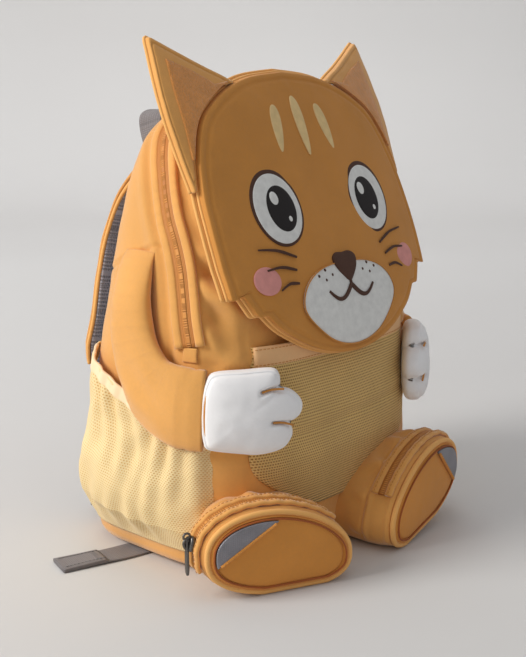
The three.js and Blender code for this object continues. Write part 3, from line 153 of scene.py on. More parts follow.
def spaced(points, count, closed=False):
    """The same line as count evenly spaced points."""
    line = [Vector(p) for p in points]
    if closed:
        line.append(line[0].copy())
    run = [0.0]
    for a, b in zip(line, line[1:]):
        run.append(run[-1] + (b - a).length)
    made = []
    steps = count if closed else count - 1
    i = 0
    for k in range(count):
        goal = run[-1] * k / steps
        while i < len(run) - 2 and run[i + 1] < goal:
            i += 1
        t = (goal - run[i]) / max(run[i + 1] - run[i], 1e-9)
        made.append(line[i].lerp(line[i + 1], clamp(t)))
    return made


# The bag's main form
def body_section(z, off=0.0):
    share = clamp(z / BODY_HEIGHT)
    front = table_at(BODY_TABLE, 2, share) * BODY_DEPTH - off
    back = table_at(BODY_TABLE, 3, share) * BODY_DEPTH + off
    half = table_at(BODY_TABLE, 1, share) * BODY_WIDTH / 2 + off
    return half, (front + back) / 2, (back - front) / 2


def bulge(ratio):
    return max(1 - min(abs(ratio), 1) ** SQUARENESS, 0) ** (1 / SQUARENESS)


def front_y(x, z, off=0.0):
    half, middle, deep = body_section(z, off)
    return middle - deep * bulge(x / half)


def back_y(x, z, off=0.0):
    half, middle, deep = body_section(z, off)
    return middle + deep * bulge(x / half)


def side_x(y, z, off=0.0):
    half, middle, deep = body_section(z, off)
    return half * bulge((y - middle) / deep)


def body_normal(p):
    def value(q):
        half, middle, deep = body_section(q.z)
        return abs(q.x / half) ** SQUARENESS + abs((q.y - middle) / deep) ** SQUARENESS
    step = 0.5
    axes = (Vector((step, 0, 0)), Vector((0, step, 0)), Vector((0, 0, step)))
    return Vector([value(p + a) - value(p - a) for a in axes]).normalized()


def zip_point(z, side):
    y = table_at(ZIP_LINE, 1, z / BODY_HEIGHT) * BODY_DEPTH
    return Vector((side * side_x(y, z), y, z))


def zip_path(count):
    """Points and normals up the left side, over the top and down the right."""
    half = count // 2
    climb = [lerp(ZIP_END, BODY_HEIGHT, math.sin(i / half * math.pi / 2)) for i in range(half)]
    left = [zip_point(z, -1) for z in climb]
    right = [zip_point(z, 1) for z in reversed(climb)]
    line = spaced(left + right, count)
    return [(p, body_normal(Vector((p.x, p.y, min(p.z, BODY_HEIGHT - 1))))) for p in line]


# Head: its outline in front view and its surface
def head_outline(count):
    arch = through(HEAD_ARCH, 60)
    tufts = [tuple(Vector(a).lerp(Vector(b), k / 6)) for a, b in
             zip((HEAD_ARCH[-1],) + TUFTS, TUFTS + (CHIN[0],)) for k in range(1, 7)]
    chin = through(CHIN, 40)[1:]
    right = [(a * HEAD_WIDTH / 2, HEAD_BOTTOM + b * HEAD_HEIGHT) for a, b in arch + tufts + chin]
    left = [(-x, z) for x, z in reversed(right[1:-1])]
    return [tuple(p) for p in spaced(right + left, count, closed=True)]


def front_line(z):
    share = z / BODY_HEIGHT
    if share <= 1:
        return table_at(BODY_TABLE, 2, share) * BODY_DEPTH
    top = table_at(BODY_TABLE, 2, 1) * BODY_DEPTH
    near = table_at(BODY_TABLE, 2, 0.965) * BODY_DEPTH
    return top + (top - near) / 0.035 * (share - 1)


def head_plane(x, z):
    share = (z - HEAD_BOTTOM) / HEAD_HEIGHT
    standoff = table_at(HEAD_STANDOFF, 1, clamp(share)) * HEAD_HEIGHT
    swept = 11 * (1 - 0.5 * share) * abs(x / (HEAD_WIDTH / 2)) ** 2.5
    return front_line(z) - GAP - standoff + swept


def on_head(x, z, out):
    return Vector((x, head_plane(x, z) - out, z))


# Materials
class Value:
    """One socket of a node tree, with arithmetic."""

    def __init__(self, tree, socket):
        self.tree, self.socket = tree, socket

    def _math(self, operation, *values):
        return self.tree.node("ShaderNodeMath", {"operation": operation}, *values)

    def __add__(self, other):
        return self._math("ADD", self, other)

    def __radd__(self, other):
        return self._math("ADD", other, self)

    def __sub__(self, other):
        return self._math("SUBTRACT", self, other)

    def __rsub__(self, other):
        return self._math("SUBTRACT", other, self)

    def __mul__(self, other):
        return self._math("MULTIPLY", self, other)

    def __rmul__(self, other):
        return self._math("MULTIPLY", other, self)

    def __truediv__(self, other):
        return self._math("DIVIDE", self, other)

    def sine(self):
        return self._math("SINE", self)

    def size(self):
        return self._math("ABSOLUTE", self)

    def over(self, edge):
        return self._math("GREATER_THAN", self, edge)

    def limited(self):
        return self.tree.node("ShaderNodeClamp", {}, self)

    def wrapped(self):
        return self._math("FRACT", self)

    def parts(self):
        split = self.tree.node("ShaderNodeSeparateXYZ", {}, self).socket.node
        return [Value(self.tree, s) for s in split.outputs]


class Finish:
    """A material and the short way to add nodes to it."""

    def __init__(self, name, roughness=0.8, metallic=0.0, sheen=0.0, coat=0.0, specular=0.4):
        self.material = bpy.data.materials.new(name)
        self.material.use_nodes = True
        self.nodes = self.material.node_tree.nodes
        self.links = self.material.node_tree.links
        self.shader = self.nodes["Principled BSDF"]
        self.shader.inputs["Roughness"].default_value = roughness
        self.shader.inputs["Metallic"].default_value = metallic
        self.shader.inputs["Sheen Weight"].default_value = sheen
        self.shader.inputs["Sheen Roughness"].default_value = 0.45
        self.shader.inputs["Coat Weight"].default_value = coat
        self.shader.inputs["Specular IOR Level"].default_value = specular

    def node(self, kind, settings, *values, output=0, **named):
        made = self.nodes.new(kind)
        for key, value in settings.items():
            setattr(made, key, value)
        for slot, value in list(enumerate(values)) + list(named.items()):
            slot = slot.replace("_", " ") if isinstance(slot, str) else slot
            self.feed(made.inputs[slot], value)
        return Value(self, made.outputs[output])

    def feed(self, socket, value):
        if isinstance(value, Value):
            self.links.new(value.socket, socket)
        elif socket.type == "RGBA" and len(value) == 3:
            socket.default_value = (*value, 1)
        else:
            socket.default_value = value

    def place(self):
        return self.node("ShaderNodeTexCoord", {}, output=3)

    def flat(self):
        """The piece's own cloth coordinates, in millimetres."""
        return self.node("ShaderNodeUVMap", {"uv_map": "flat"})

    def noise(self, size, detail=3, rough=0.55, stretch=(1, 1, 1)):
        """Noise with features of size millimetres, from 0 to 1."""
        scale = [s / (size * MM) for s in stretch]
        put = self.node("ShaderNodeMapping", {}, Vector=self.place(), Scale=scale)
        return self.node("ShaderNodeTexNoise", {}, Vector=put, Scale=1.0, Detail=detail,
                         Roughness=rough)

    def mix(self, share, low, high):
        mixer = self.nodes.new("ShaderNodeMix")
        mixer.data_type = "RGBA"
        self.feed(mixer.inputs[0], share)
        self.feed(mixer.inputs[6], low)
        self.feed(mixer.inputs[7], high)
        return Value(self, mixer.outputs[2])

    def wave(self, along, pitch):
        return (along * (math.tau / pitch)).sine()

    def dyed(self, colour, shade, size, detail=3):
        """The colour, patchily darkened to that share of itself."""
        patch = self.between(self.noise(size, detail), 0.3, 0.7)
        return self.mix(patch, dimmed(colour, shade), colour)

    def between(self, value, low, high, to_low=0.0, to_high=1.0):
        return self.node("ShaderNodeMapRange", {"clamp": True}, value, low, high, to_low, to_high)

    def paint(self, colour, rough=None, height=None, depth=0.3):
        """Feeds the shader; height is in millimetres once depth scales it."""
        self.feed(self.shader.inputs["Base Color"], colour)
        if rough is not None:
            self.feed(self.shader.inputs["Roughness"], rough)
        if height is not None:
            bent = self.node("ShaderNodeBump", {}, Strength=1.0, Distance=depth * MM,
                             Height=height)
            self.feed(self.shader.inputs["Normal"], bent)
        return self.material


def srgb(r, g, b):
    """A colour read as eight-bit screen values, turned to linear light."""
    return tuple((c / 255 / 12.92) if c <= 10 else ((c / 255 + 0.055) / 1.055) ** 2.4
                 for c in (r, g, b))


def dimmed(colour, share):
    return tuple(c * share for c in colour)


def plain_cloth(name, colour, shade=0.8, thread=0.55, nap=0.05, sheen=0.15):
    """Fine plain weave with soft, uneven dye and light fuzz."""
    f = Finish(name, roughness=0.82, sheen=sheen, specular=0.3)
    fine = f.noise(2.2, 2)
    tone = f.between(f.noise(38, 3) * 0.7 + fine * 0.3, 0.32, 0.68)
    u, v, _ = f.flat().parts()
    weave = f.wave(u, thread) * f.wave(v, thread)
    f.paint(
        colour=f.mix(tone, dimmed(colour, shade), colour),
        rough=f.between(fine, 0.3, 0.7, 0.74, 0.9),
        height=weave * 0.25 + fine * nap * 10 + f.noise(9, 2) * 0.8,
        depth=0.12,
    )
    return f.material


def mesh_cloth(name, colour, hole, pitch, open_share=0.34, depth=0.5):
    """Knitted mesh: rows of small holes in a lighter net."""
    f = Finish(name, roughness=0.88, sheen=0.2, specular=0.25)
    u, v, _ = f.flat().parts()
    wobble = f.noise(14, 2)
    across = (u + wobble * 0.8) / pitch
    along = v / pitch
    row = (along * 0.5).wrapped().over(0.5) * 0.5
    cell_u = ((across + row).wrapped() - 0.5).size()
    cell_v = (along.wrapped() - 0.5).size()
    away = cell_u * cell_u * 1.2 + cell_v * cell_v * 1.8
    net = f.between(away, open_share * 0.12, open_share * 0.42)
    f.paint(colour=f.mix(net, hole, f.dyed(colour, 0.88, 30)), height=net, depth=depth)
    return f.material


def metal(name, colour, roughness):
    f = Finish(name, roughness=roughness, metallic=1.0, specular=0.5)
    scratch = f.noise(3, 3, stretch=(1, 1, 6))
    f.paint(
        colour=f.mix(f.between(scratch, 0.35, 0.7), dimmed(colour, 0.7), colour),
        rough=f.between(scratch, 0.3, 0.7, roughness - 0.06, roughness + 0.14),
        height=scratch,
        depth=0.03,
    )
    return f.material


def ribbed(name, colour, rib=1.3, shade=0.72):
    """Flat webbing with fine ribs across it."""
    f = Finish(name, roughness=0.7, sheen=0.2, specular=0.35)
    u, v, _ = f.flat().parts()
    ribs = f.wave(v, rib)
    f.paint(colour=f.mix((ribs * 0.12 + 0.12).limited(), f.dyed(colour, shade, 20),
                         dimmed(colour, 0.6)),
            height=ribs * 0.5 + f.wave(u, 2.2) * 0.4, depth=0.25)
    return f.material


def zip_coil(name, colour, dark):
    """Woven tape with a coil of teeth along its middle; u runs across, v along, in mm."""
    f = Finish(name, roughness=0.6, specular=0.4)
    u, v, _ = f.flat().parts()
    middle = f.between(u.size(), 1.0, 2.0, 1.0, 0.0)
    teeth = f.wave(v, 1.5) * 0.5 + 0.5
    tape = (f.wave(u, 1.1) * 0.5 + 0.5) * 0.3
    shown = teeth * middle + tape * (1 - middle)
    f.paint(colour=f.mix(shown.limited(), dark, colour), height=shown + middle * 1.5, depth=0.4)
    return f.material


def plush(name, colour):
    """Short soft pile."""
    f = Finish(name, roughness=0.95, sheen=0.6, specular=0.15)
    hair = f.noise(1.1, 4, rough=0.7, stretch=(1, 1, 0.45))
    clump = f.noise(7, 3)
    tone = f.between(hair * 0.6 + clump * 0.4, 0.36, 0.66)
    f.paint(colour=f.mix(tone, dimmed(colour, 0.72), colour),
            height=hair + clump * 0.6, depth=0.9)
    return f.material


def reflective(name, colour):
    """Satin reflective film with a faint diamond backing."""
    f = Finish(name, roughness=0.42, metallic=0.25, coat=0.1, specular=0.5)
    u, v, _ = f.flat().parts()
    lattice = f.wave(u + v, 2.4) * f.wave(u - v, 2.4)
    smudge = f.between(f.noise(12, 3), 0.3, 0.7)
    f.paint(colour=f.mix(smudge, dimmed(colour, 0.75), colour),
            rough=f.between(smudge, 0, 1, 0.36, 0.52), height=lattice, depth=0.06)
    return f.material


def moulded(name, colour):
    f = Finish(name, roughness=0.5, specular=0.45)
    f.paint(colour=f.dyed(colour, 0.85, 14, 2), height=f.noise(0.8, 3), depth=0.06)
    return f.material


def printed(name, colour):
    """Face print: dye in the same weave, with slightly uneven cover."""
    f = Finish(name, roughness=0.72, sheen=0.05, specular=0.35)
    u, v, _ = f.flat().parts()
    weave = f.wave(u, 0.55) * f.wave(v, 0.55)
    f.paint(colour=f.dyed(colour, 0.86, 5, 4), height=weave * 0.3 + f.noise(3, 2), depth=0.08)
    return f.material


ORANGE = srgb(235, 171, 92)
LOOKS = {
    "orange": plain_cloth("orange_cloth", ORANGE, 0.88, sheen=0.5),
    # Face panel: the body's orange made darker and deeper, as painted shade on a panel turned away
    # from the light.
    "face": plain_cloth("face_cloth_painted_shade", srgb(214, 146, 68), 0.88),
    # Soles: the orange made darker and deeper, as painted shade on faces turned away from the
    # light.
    "sole": plain_cloth("sole_cloth_painted_shade", srgb(226, 152, 70), 0.88),
    "binding": plain_cloth("binding_tape", srgb(246, 184, 106), 0.9),
    "white": plain_cloth("white_cloth", srgb(250, 249, 249), 0.94, sheen=0.1),
    "side_mesh": mesh_cloth("side_stretch_mesh", srgb(254, 228, 172), srgb(230, 180, 108), 1.8),
    # The front pocket's holes show the body cloth behind, given darker than that cloth as painted
    # shade inside the pocket.
    "front_mesh": mesh_cloth("front_pocket_mesh", srgb(240, 202, 130), srgb(176, 128, 64), 1.9,
                             0.5, 0.6),
    "elastic": plain_cloth("elastic_band", srgb(255, 226, 184), 0.93, thread=1.2),
    "peach": plain_cloth("peach_elastic", srgb(244, 196, 142), 0.92, thread=1.2),
    "plush": plush("ear_plush", srgb(240, 162, 84)),
    "webbing": ribbed("grey_webbing", srgb(138, 131, 131)),
    "spacer": mesh_cloth("grey_spacer_mesh", srgb(176, 173, 179), srgb(136, 134, 140), 2.6,
                         0.5, 0.7),
    "coil": zip_coil("zip_coil", srgb(222, 152, 76), srgb(184, 116, 52)),
    "metal": metal("gunmetal", srgb(120, 116, 112), 0.34),
    "film": reflective("reflective_film", srgb(146, 144, 150)),
    "plastic": moulded("grey_plastic", srgb(112, 110, 112)),
    "thread": plain_cloth("stitch_thread", srgb(216, 148, 72), 0.85, thread=0.4),
    # Dark orange-brown: the zip pull's real cord, and also painted shade along the feet's sole
    # seams.
    "cord": plain_cloth("cord_weave_and_seam_shade", srgb(178, 96, 44), 0.75, thread=0.8),
    "print_white": printed("print_white", srgb(236, 236, 232)),
    "print_cream": printed("print_cream", srgb(240, 208, 148)),
    "print_black": printed("print_black", srgb(34, 28, 28)),
    "print_brown": printed("print_brown", srgb(84, 54, 40)),
    "print_pink": printed("print_pink", srgb(232, 158, 150)),
}


# Meshes
def smooth_object(mesh, name, material):
    data = bpy.data.meshes.new(name)
    mesh.to_mesh(data)
    mesh.free()
    for face in data.polygons:
        face.use_smooth = True
    data.materials.append(material)
    made = bpy.data.objects.new(name, data)
    bpy.context.scene.collection.objects.link(made)
    return made


def finished(mesh, name, look, node="", body="bag", slot="", thick=0.0):
    """A bmesh as a piece that rides on a CAD body, in place of a CAD node if one is named."""
    piece = smooth_object(mesh, name, LOOKS[look])
    if thick:
        wall = piece.modifiers.new("wall", "SOLIDIFY")
        wall.thickness = thick * MM
        wall.offset = 1
    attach(piece, body)
    if node:
        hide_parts(node)
    return piece


def bent_grid(cols, rows, place, size=(1.0, 1.0), outward=True):
    """A flat grid bent by place(u, v); touching edges are sewn together."""
    mesh = bmesh.new()
    layer = mesh.loops.layers.uv.new("flat")
    bmesh.ops.create_grid(mesh, x_segments=cols, y_segments=rows, size=0.5)
    for face in mesh.faces:
        for loop in face.loops:
            co = loop.vert.co
            loop[layer].uv = ((co.x + 0.5) * size[0], (co.y + 0.5) * size[1])
    for v in mesh.verts:
        v.co = place(clamp(v.co.x + 0.5), clamp(v.co.y + 0.5)) * MM
    bmesh.ops.remove_doubles(mesh, verts=mesh.verts, dist=JOIN)
    if outward:
        bmesh.ops.recalc_face_normals(mesh, faces=mesh.faces)
    return mesh


def swept(frames, ring, cols=16, closed=False, across_uv=False):
    """A band or tube along frames of (point, normal, width, thickness)."""
    points = [Vector(f[0]) for f in frames]
    run = [0.0]
    for a, b in zip(points, points[1:]):
        run.append(run[-1] + (b - a).length)
    count = len(frames)
    rows = count if closed else count + 1
    widest = max(f[2] for f in frames)

    def station(i):
        ahead = points[(i + 1) % count] if closed else points[min(i + 1, count - 1)]
        behind = points[i - 1] if closed or i else points[0]
        tangent = (ahead - behind).normalized()
        across = tangent.cross(Vector(frames[i][1])).normalized()
        return across, across.cross(tangent).normalized()

    basis = [station(i) for i in range(count)]

    def place(u, v):
        k = round(v * rows)
        if closed:
            i, shrink = k % count, 1.0
        else:
            i = min(max(k - 1, 0), count - 1)
            shrink = 0.0 if k in (0, rows) else 1.0
        s, n = ring(u % 1.0)
        across, out = basis[i]
        _, _, width, thickness = frames[i]
        return (points[i] + across * (s * width / 2 * shrink)
                + out * (n * thickness / 2 * shrink))

    mesh = bent_grid(cols, rows, place)
    layer = mesh.loops.layers.uv["flat"]
    for face in mesh.faces:
        for loop in face.loops:
            u, v = loop[layer].uv
            k = v * rows - (0 if closed else 1)
            i = int(clamp(k, 0, len(run) - 1))
            s, _ = ring(u % 1.0)
            loop[layer].uv = (s * widest / 2 if across_uv else u * widest * 2, run[i])
    return mesh


def oval_ring(power=2.0):
    def ring(u):
        return squarish(math.tau * u, 2 / power)
    return ring


def pillow(outline, centre, put, cols, rows, low, high, edge=7.0, crown=0.0, relief=None,
           size=(120, 120)):
    """A stuffed shape on a flat outline: put(a, b, out) places it, low and high are its faces."""
    loop = spaced(outline, cols, closed=True)
    middle, half = (low + high) / 2, (high - low) / 2

    def place(u, v):
        t = 2 * v - 1
        share = 1 - t * t
        top = (1 - share ** edge) ** (1 / edge) if share < 1 else 0.0
        rim = loop[round(u * cols) % cols]
        a, b = lerp(centre[0], rim[0], share), lerp(centre[1], rim[1], share)
        out = middle + math.copysign(top, t) * half
        if t > 0:
            out += crown * (1 - share * share)
            if relief:
                out += relief(a, b, share)
        return put(a, b, out)

    mesh = bent_grid(cols, rows, place, size)
    layer = mesh.loops.layers.uv["flat"]
    # Flat coordinates follow the outline's own plane, so the weave runs straight
    for face in mesh.faces:
        for corner in face.loops:
            u, v = corner[layer].uv
            t = 2 * v / size[1] - 1
            share = 1 - t * t
            rim = loop[round(u / size[0] * cols) % cols]
            corner[layer].uv = (lerp(centre[0], rim[0], share), lerp(centre[1], rim[1], share))
    return mesh


def rope(name, look, points, radius, normal=FRONT, closed=True, cols=8, **tags):
    """A round cord along points, as a piece."""
    frames = [(p, normal, radius * 2, radius * 2) for p in points]
    mesh = swept(frames, oval_ring(), cols, closed)
    return finished(mesh, name, look, **tags)


def stitches(name, line, normals, pitch=2.8, length=1.9, wide=0.5, lift=0.12, look="thread",
             **tags):
    """A row of short threads along a line of points with outward normals, as a piece."""
    mesh = bmesh.new()
    layer = mesh.loops.layers.uv.new("flat")
    run = sum((Vector(b) - Vector(a)).length for a, b in zip(line, line[1:]))
    count = max(int(run / pitch), 2)
    path = spaced(line, count * 2 + 1)
    step = (len(line) - 1) / (count * 2)
    for k in range(count):
        a, b = path[2 * k], path[2 * k + 1]
        n = normals[min(round((2 * k + 0.5) * step), len(normals) - 1)].normalized()
        along = (b - a).normalized()
        across = along.cross(n).normalized()
        middle = a + along * (length / 2) + n * lift
        made = bmesh.ops.create_cube(mesh, size=1)["verts"]
        for v in made:
            c = v.co.copy()
            slim = 0.75 if c.z > 0 else 1.0
            v.co = (middle + along * (c.x * length * slim) + across * (c.y * wide * slim)
                    + n * (c.z * wide)) * MM
    for face in mesh.faces:
        for loop in face.loops:
            loop[layer].uv = (loop.vert.co.x / MM, loop.vert.co.z / MM)
    bmesh.ops.recalc_face_normals(mesh, faces=mesh.faces)
    return finished(mesh, name, look, **tags)


# The bag: cloth body with soft folds, seams and puckers
SHOULDER_SEAM = ((52, 184), (30.7, 195.1), (17.8, 200.5), (0.3, 206.7), (-7.3, 209.3))
FRONT_SEAM_X = 82.4


def shoulder_seam_z(y):
    table = tuple(sorted(SHOULDER_SEAM))
    return table_at(table, 1, clamp(y, table[0][0], table[-1][0]))


def body_relief(p):
    """How far the cloth stands off the plain form, in millimetres."""
    x, y, z = p
    side = abs(x)
    d = 0.8 * rumple(p, 48) + 0.35 * rumple(p, 16, 3)
    front_corner = bump((side - FRONT_SEAM_X), 1.4) * ease(190, 165, z) * (1 if y < 0 else 0)
    d -= 1.1 * front_corner
    d += 0.7 * bump(side - FRONT_SEAM_X, 6) * ease(190, 165, z) * (1 if y < 0 else 0)
    # Folds that fall from the zip towards the head's lower edge
    fold = (z - 0.9 * y) / 15 + 0.8 * rumple(p, 30, 5)
    near = bump(y + 50, 17) * bump(z - 182, 40) * ease(70, 90, side)
    d += 4.6 * math.sin(fold * math.tau / 1.6) * near
    # Shoulder seam, with small puckers beside it
    if side > 80 and -12 < y < 56:
        off = z - shoulder_seam_z(y)
        d -= 1.7 * bump(off, 1.3)
        d += 0.5 * bump(off, 5) * (1 + rumple(p, 4, 7))
    # Flat under the zip, creased beside it
    if z > 138:
        zy = table_at(ZIP_LINE, 1, z / BODY_HEIGHT) * BODY_DEPTH
        away = abs(y - zy)
        d *= 1 - (1 - ease(6, 15, away)) * ease(138, 146, z)
        d -= 1.4 * bump(away - 15, 3.2) * ease(60, 90, side)
        d += 1.3 * bump(away - 21, 5) * ease(60, 90, side)
    # Base seam and the soft corners over it
    d -= 0.9 * bump(z - 12, 1.3)
    d += 0.6 * bump(z - 17, 4) * (1 + rumple(p, 6, 9))
    # Long slack folds behind the arm and at the back's edge
    d += 1.2 * math.sin(y / 7.5 + 1.5 * rumple(p, 40, 2)) * bump(y - 52, 16) * ease(120, 200, z)
    return d


def corner_reach(c, s):
    """How far a squared curve of half size 1 reaches in direction (c, s)."""
    return (abs(c) ** SQUARENESS + abs(s) ** SQUARENESS) ** (-1 / SQUARENESS)


def body_place(u, v):
    angle = math.tau * u - math.pi / 2
    c, s = math.cos(angle), math.sin(angle)
    r = corner_reach(c, s)
    cap, crown = 0.06, 0.94
    if v < cap:
        z, shrink = BODY_BOTTOM, math.sin(v / cap * math.pi / 2)
    elif v > crown:
        t = (v - crown) / (1 - crown)
        z, shrink = BODY_HEIGHT, math.cos(t * math.pi / 2)
    else:
        t = (v - cap) / (crown - cap)
        t = lerp(t, math.sin(t * math.pi / 2), 0.45)
        z, shrink = lerp(BODY_BOTTOM, BODY_HEIGHT, t), 1.0
    half, middle, deep = body_section(z)
    p = Vector((half * c * r * shrink, middle + deep * s * r * shrink, z))
    if shrink < 1.0:
        if v > crown:
            p.z += 1.0 * (1 - shrink * shrink)
        return p
    n = body_normal(Vector((p.x, p.y, clamp(z, 1, BODY_HEIGHT - 1))))
    return p + n * (body_relief(p) * ease(BODY_BOTTOM, 9, z) * ease(BODY_HEIGHT, 285, z))


finished(bent_grid(300, 190, body_place, (640, 330)), "bag_body", "orange",
         node="body_shell")

# Main zip: coil in its tape, between two turned flaps
zip_line = zip_path(150)


def strip_frames(line, shift, lift, width, thickness):
    """Frames of a strip shifted sideways over a surface line."""
    made = []
    last = len(line) - 1
    for i, (p, n) in enumerate(line):
        tangent = (line[min(i + 1, last)][0] - line[max(i - 1, 0)][0]).normalized()
        across = tangent.cross(n).normalized()
        ripple = 0.25 * math.sin(i * 0.9) + 0.3 * rumple(p, 12, 4)
        made.append((p + across * (shift + ripple * 0.4) + n * (lift + ripple * 0.3), n, width,
                     thickness))
    return made


finished(swept(strip_frames(zip_line, 0, 0.9, 9.4, 1.6), oval_ring(5), 20, across_uv=True),
         "zip_chain", "coil", node="main_zip")
for flap, shift in (("front", -7.2), ("rear", 7.2)):
    base = strip_frames(zip_line, shift, 0.8, 6.2, 3.6)
    finished(swept(base, oval_ring(2.6), 14), f"zip_flap_{flap}", "orange")
for name, side in SIDES:
    drop = []
    for k in range(12):
        z = ZIP_END - GAP - 9 * k / 11
        p = zip_point(z, side)
        n = body_normal(p)
        drop.append((p + n * 0.6, n, 10.0 - 0.6 * bump(k - 5, 3), 1.8))
    finished(swept(drop, oval_ring(4), 16), f"zip_end_tab_{name}", "orange",
             node=f"zip_tab_{name}", slot="orange_binding")

# Head: padded face panel on its backing, with a double bound edge
face_rim = head_outline(360)
HEAD_CENTRE = (0, HEAD_BOTTOM + HEAD_HEIGHT * 0.5)


def face_relief(a, b, share):
    d = 1.1 * rumple((a * 1.6, 0, b * 0.5), 55, 2) + 0.25 * rumple((a, 0, b), 14, 6)
    d -= 0.9 * bump(share - 0.955, 0.012)
    d += 0.35 * bump(share - 0.9, 0.05) * rumple((a, 0, b), 7, 8)
    return d


# The face panel takes the darker orange, which is painted shade.
finished(pillow(face_rim, HEAD_CENTRE, on_head, 360, 90, PANEL_BACK, FACE, 16, 0.6, face_relief),
         "face_panel", "face", node="head_panel")
wide_rim = [(x * 1.012, HEAD_CENTRE[1] + (z - HEAD_CENTRE[1]) * 1.012) for x, z in face_rim]
finished(pillow(wide_rim, HEAD_CENTRE, on_head, 360, 40, 0.2, BACKING, 20), "face_backing",
         "orange", node="head_backing", slot="orange_binding")
for name, rim, out, radius in (("rear", wide_rim, 0.9, 1.15), ("front", face_rim, 3.9, 1.0)):
    points = [on_head(x, z, out) for x, z in spaced(rim, 420, closed=True)]
    rope(f"face_edge_{name}", "binding", points, radius)

# Ears: padded wings sewn along the head's rim, each with a plush inset
EAR_OUTER = ((0.44, 0.962), (0.52, 0.985), (0.66, 1.020), (0.83, 1.068), (0.955, 1.104),
             (1.005, 1.112), (1.022, 1.06), (1.045, 0.960), (1.058, 0.850), (1.045, 0.72),
             (1.022, 0.600))
EAR_RISE = 19 / HEAD_HEIGHT / 0.107


def ear_point(a, b):
    z = 1 + (b - 1) * EAR_RISE if b > 1 else b
    return (a * HEAD_WIDTH / 2, HEAD_BOTTOM + z * HEAD_HEIGHT)


def arch_between(low, high, gap, count):
    """Part of the head's arch, from height share low to high, moved outwards by gap."""
    line = [p for p in through(HEAD_ARCH, 90) if low <= p[1] <= high and p[0] > 0.3]
    made = []
    for a, b in reversed(line):
        x, z = ear_point(a, b)
        out = Vector((x - HEAD_CENTRE[0], z - HEAD_CENTRE[1])).normalized() * gap
        made.append((x + out.x, z + out.y))
    return [tuple(p) for p in spaced(made, count)]


ear_top = through([ear_point(*p) for p in EAR_OUTER], 70)
ear_seam = arch_between(0.6, 0.962, 2.6, 40)
ear_rim = ear_top + ear_seam
EAR_MIDDLE = (HEAD_WIDTH / 2 * 0.93, HEAD_BOTTOM + HEAD_HEIGHT * 0.93)


def ear_relief(a, b, share):
    return (-1.0 * bump(share - 0.9, 0.02) + 0.5 * rumple((a, 0, b), 16, 4)
            + 0.25 * rumple((a, 0, b), 6, 1) * ease(0.5, 0.9, share))


plush_rim = []
for a, b in through(((0.945, 1.044), (0.80, 1.010), (0.69, 0.978), (0.635, 0.958)), 24):
    plush_rim.append(ear_point(a, b))
plush_rim += list(reversed(arch_between(0.70, 0.955, 2.8, 30)))
plush_rim += through([ear_point(*p) for p in ((0.985, 0.70), (0.972, 0.82), (0.965, 0.94),
                                              (0.945, 1.044))], 30)[1:]
for name, side in SIDES:
    def ear_place(a, b, out, side=side):
        return on_head(side * a, b, out)

    finished(pillow(ear_rim, EAR_MIDDLE, ear_place, 200, 50, 2.0, 7.4, 9, 0.8, ear_relief),
             f"ear_pad_{name}", "orange", node=f"ear_{name}")
    finished(pillow(plush_rim, ear_point(0.88, 0.92), ear_place, 160, 36, 6.6, 8.9, 10, 0.4),
             f"ear_inset_{name}", "plush", node=f"inner_ear_{name}")
    edge = [ear_place(x, z, 2.6) for x, z in spaced(ear_top, 120)]
    rope(f"ear_binding_{name}", "binding", edge, 1.1, closed=False)


def ruffled(mesh, amount, size, seed=0.0):
    """Pushes a closed mesh in and out along its own normals, as soft filling does."""
    mesh.normal_update()
    moved = []
    for v in mesh.verts:
        p = v.co / MM
        moved.append(v.co + v.normal * (amount * MM * rumple(p, size, seed)))
    for v, co in zip(mesh.verts, moved):
        v.co = co
    return mesh


def groove(a, b, line, width):
    """How close (a, b) is to a polyline, 1 on it and 0 far from it."""
    best = 1e9
    for (x0, y0), (x1, y1) in zip(line, line[1:]):
        dx, dy = x1 - x0, y1 - y0
        t = clamp(((a - x0) * dx + (b - y0) * dy) / (dx * dx + dy * dy))
        best = min(best, (a - x0 - dx * t) ** 2 + (b - y0 - dy * t) ** 2)
    return math.exp(-best / width ** 2)


# Face prints, flat on the panel
def middle_of(outline):
    return tuple(sum(p[k] for p in outline) / len(outline) for k in (0, 1))


def printed_shape(name, look, outline, rise, node=""):
    """A patch that stands that far off the face panel."""
    mesh = pillow(outline, middle_of(outline), on_head, 96, 24, FACE - 0.5, FACE + rise, 4)
    finished(mesh, name, look, node)


def oval(x, z, width, height, count=48):
    turns = [math.tau * k / count for k in range(count)]
    return [(x + width / 2 * math.cos(a), z + height / 2 * math.sin(a)) for a in turns]


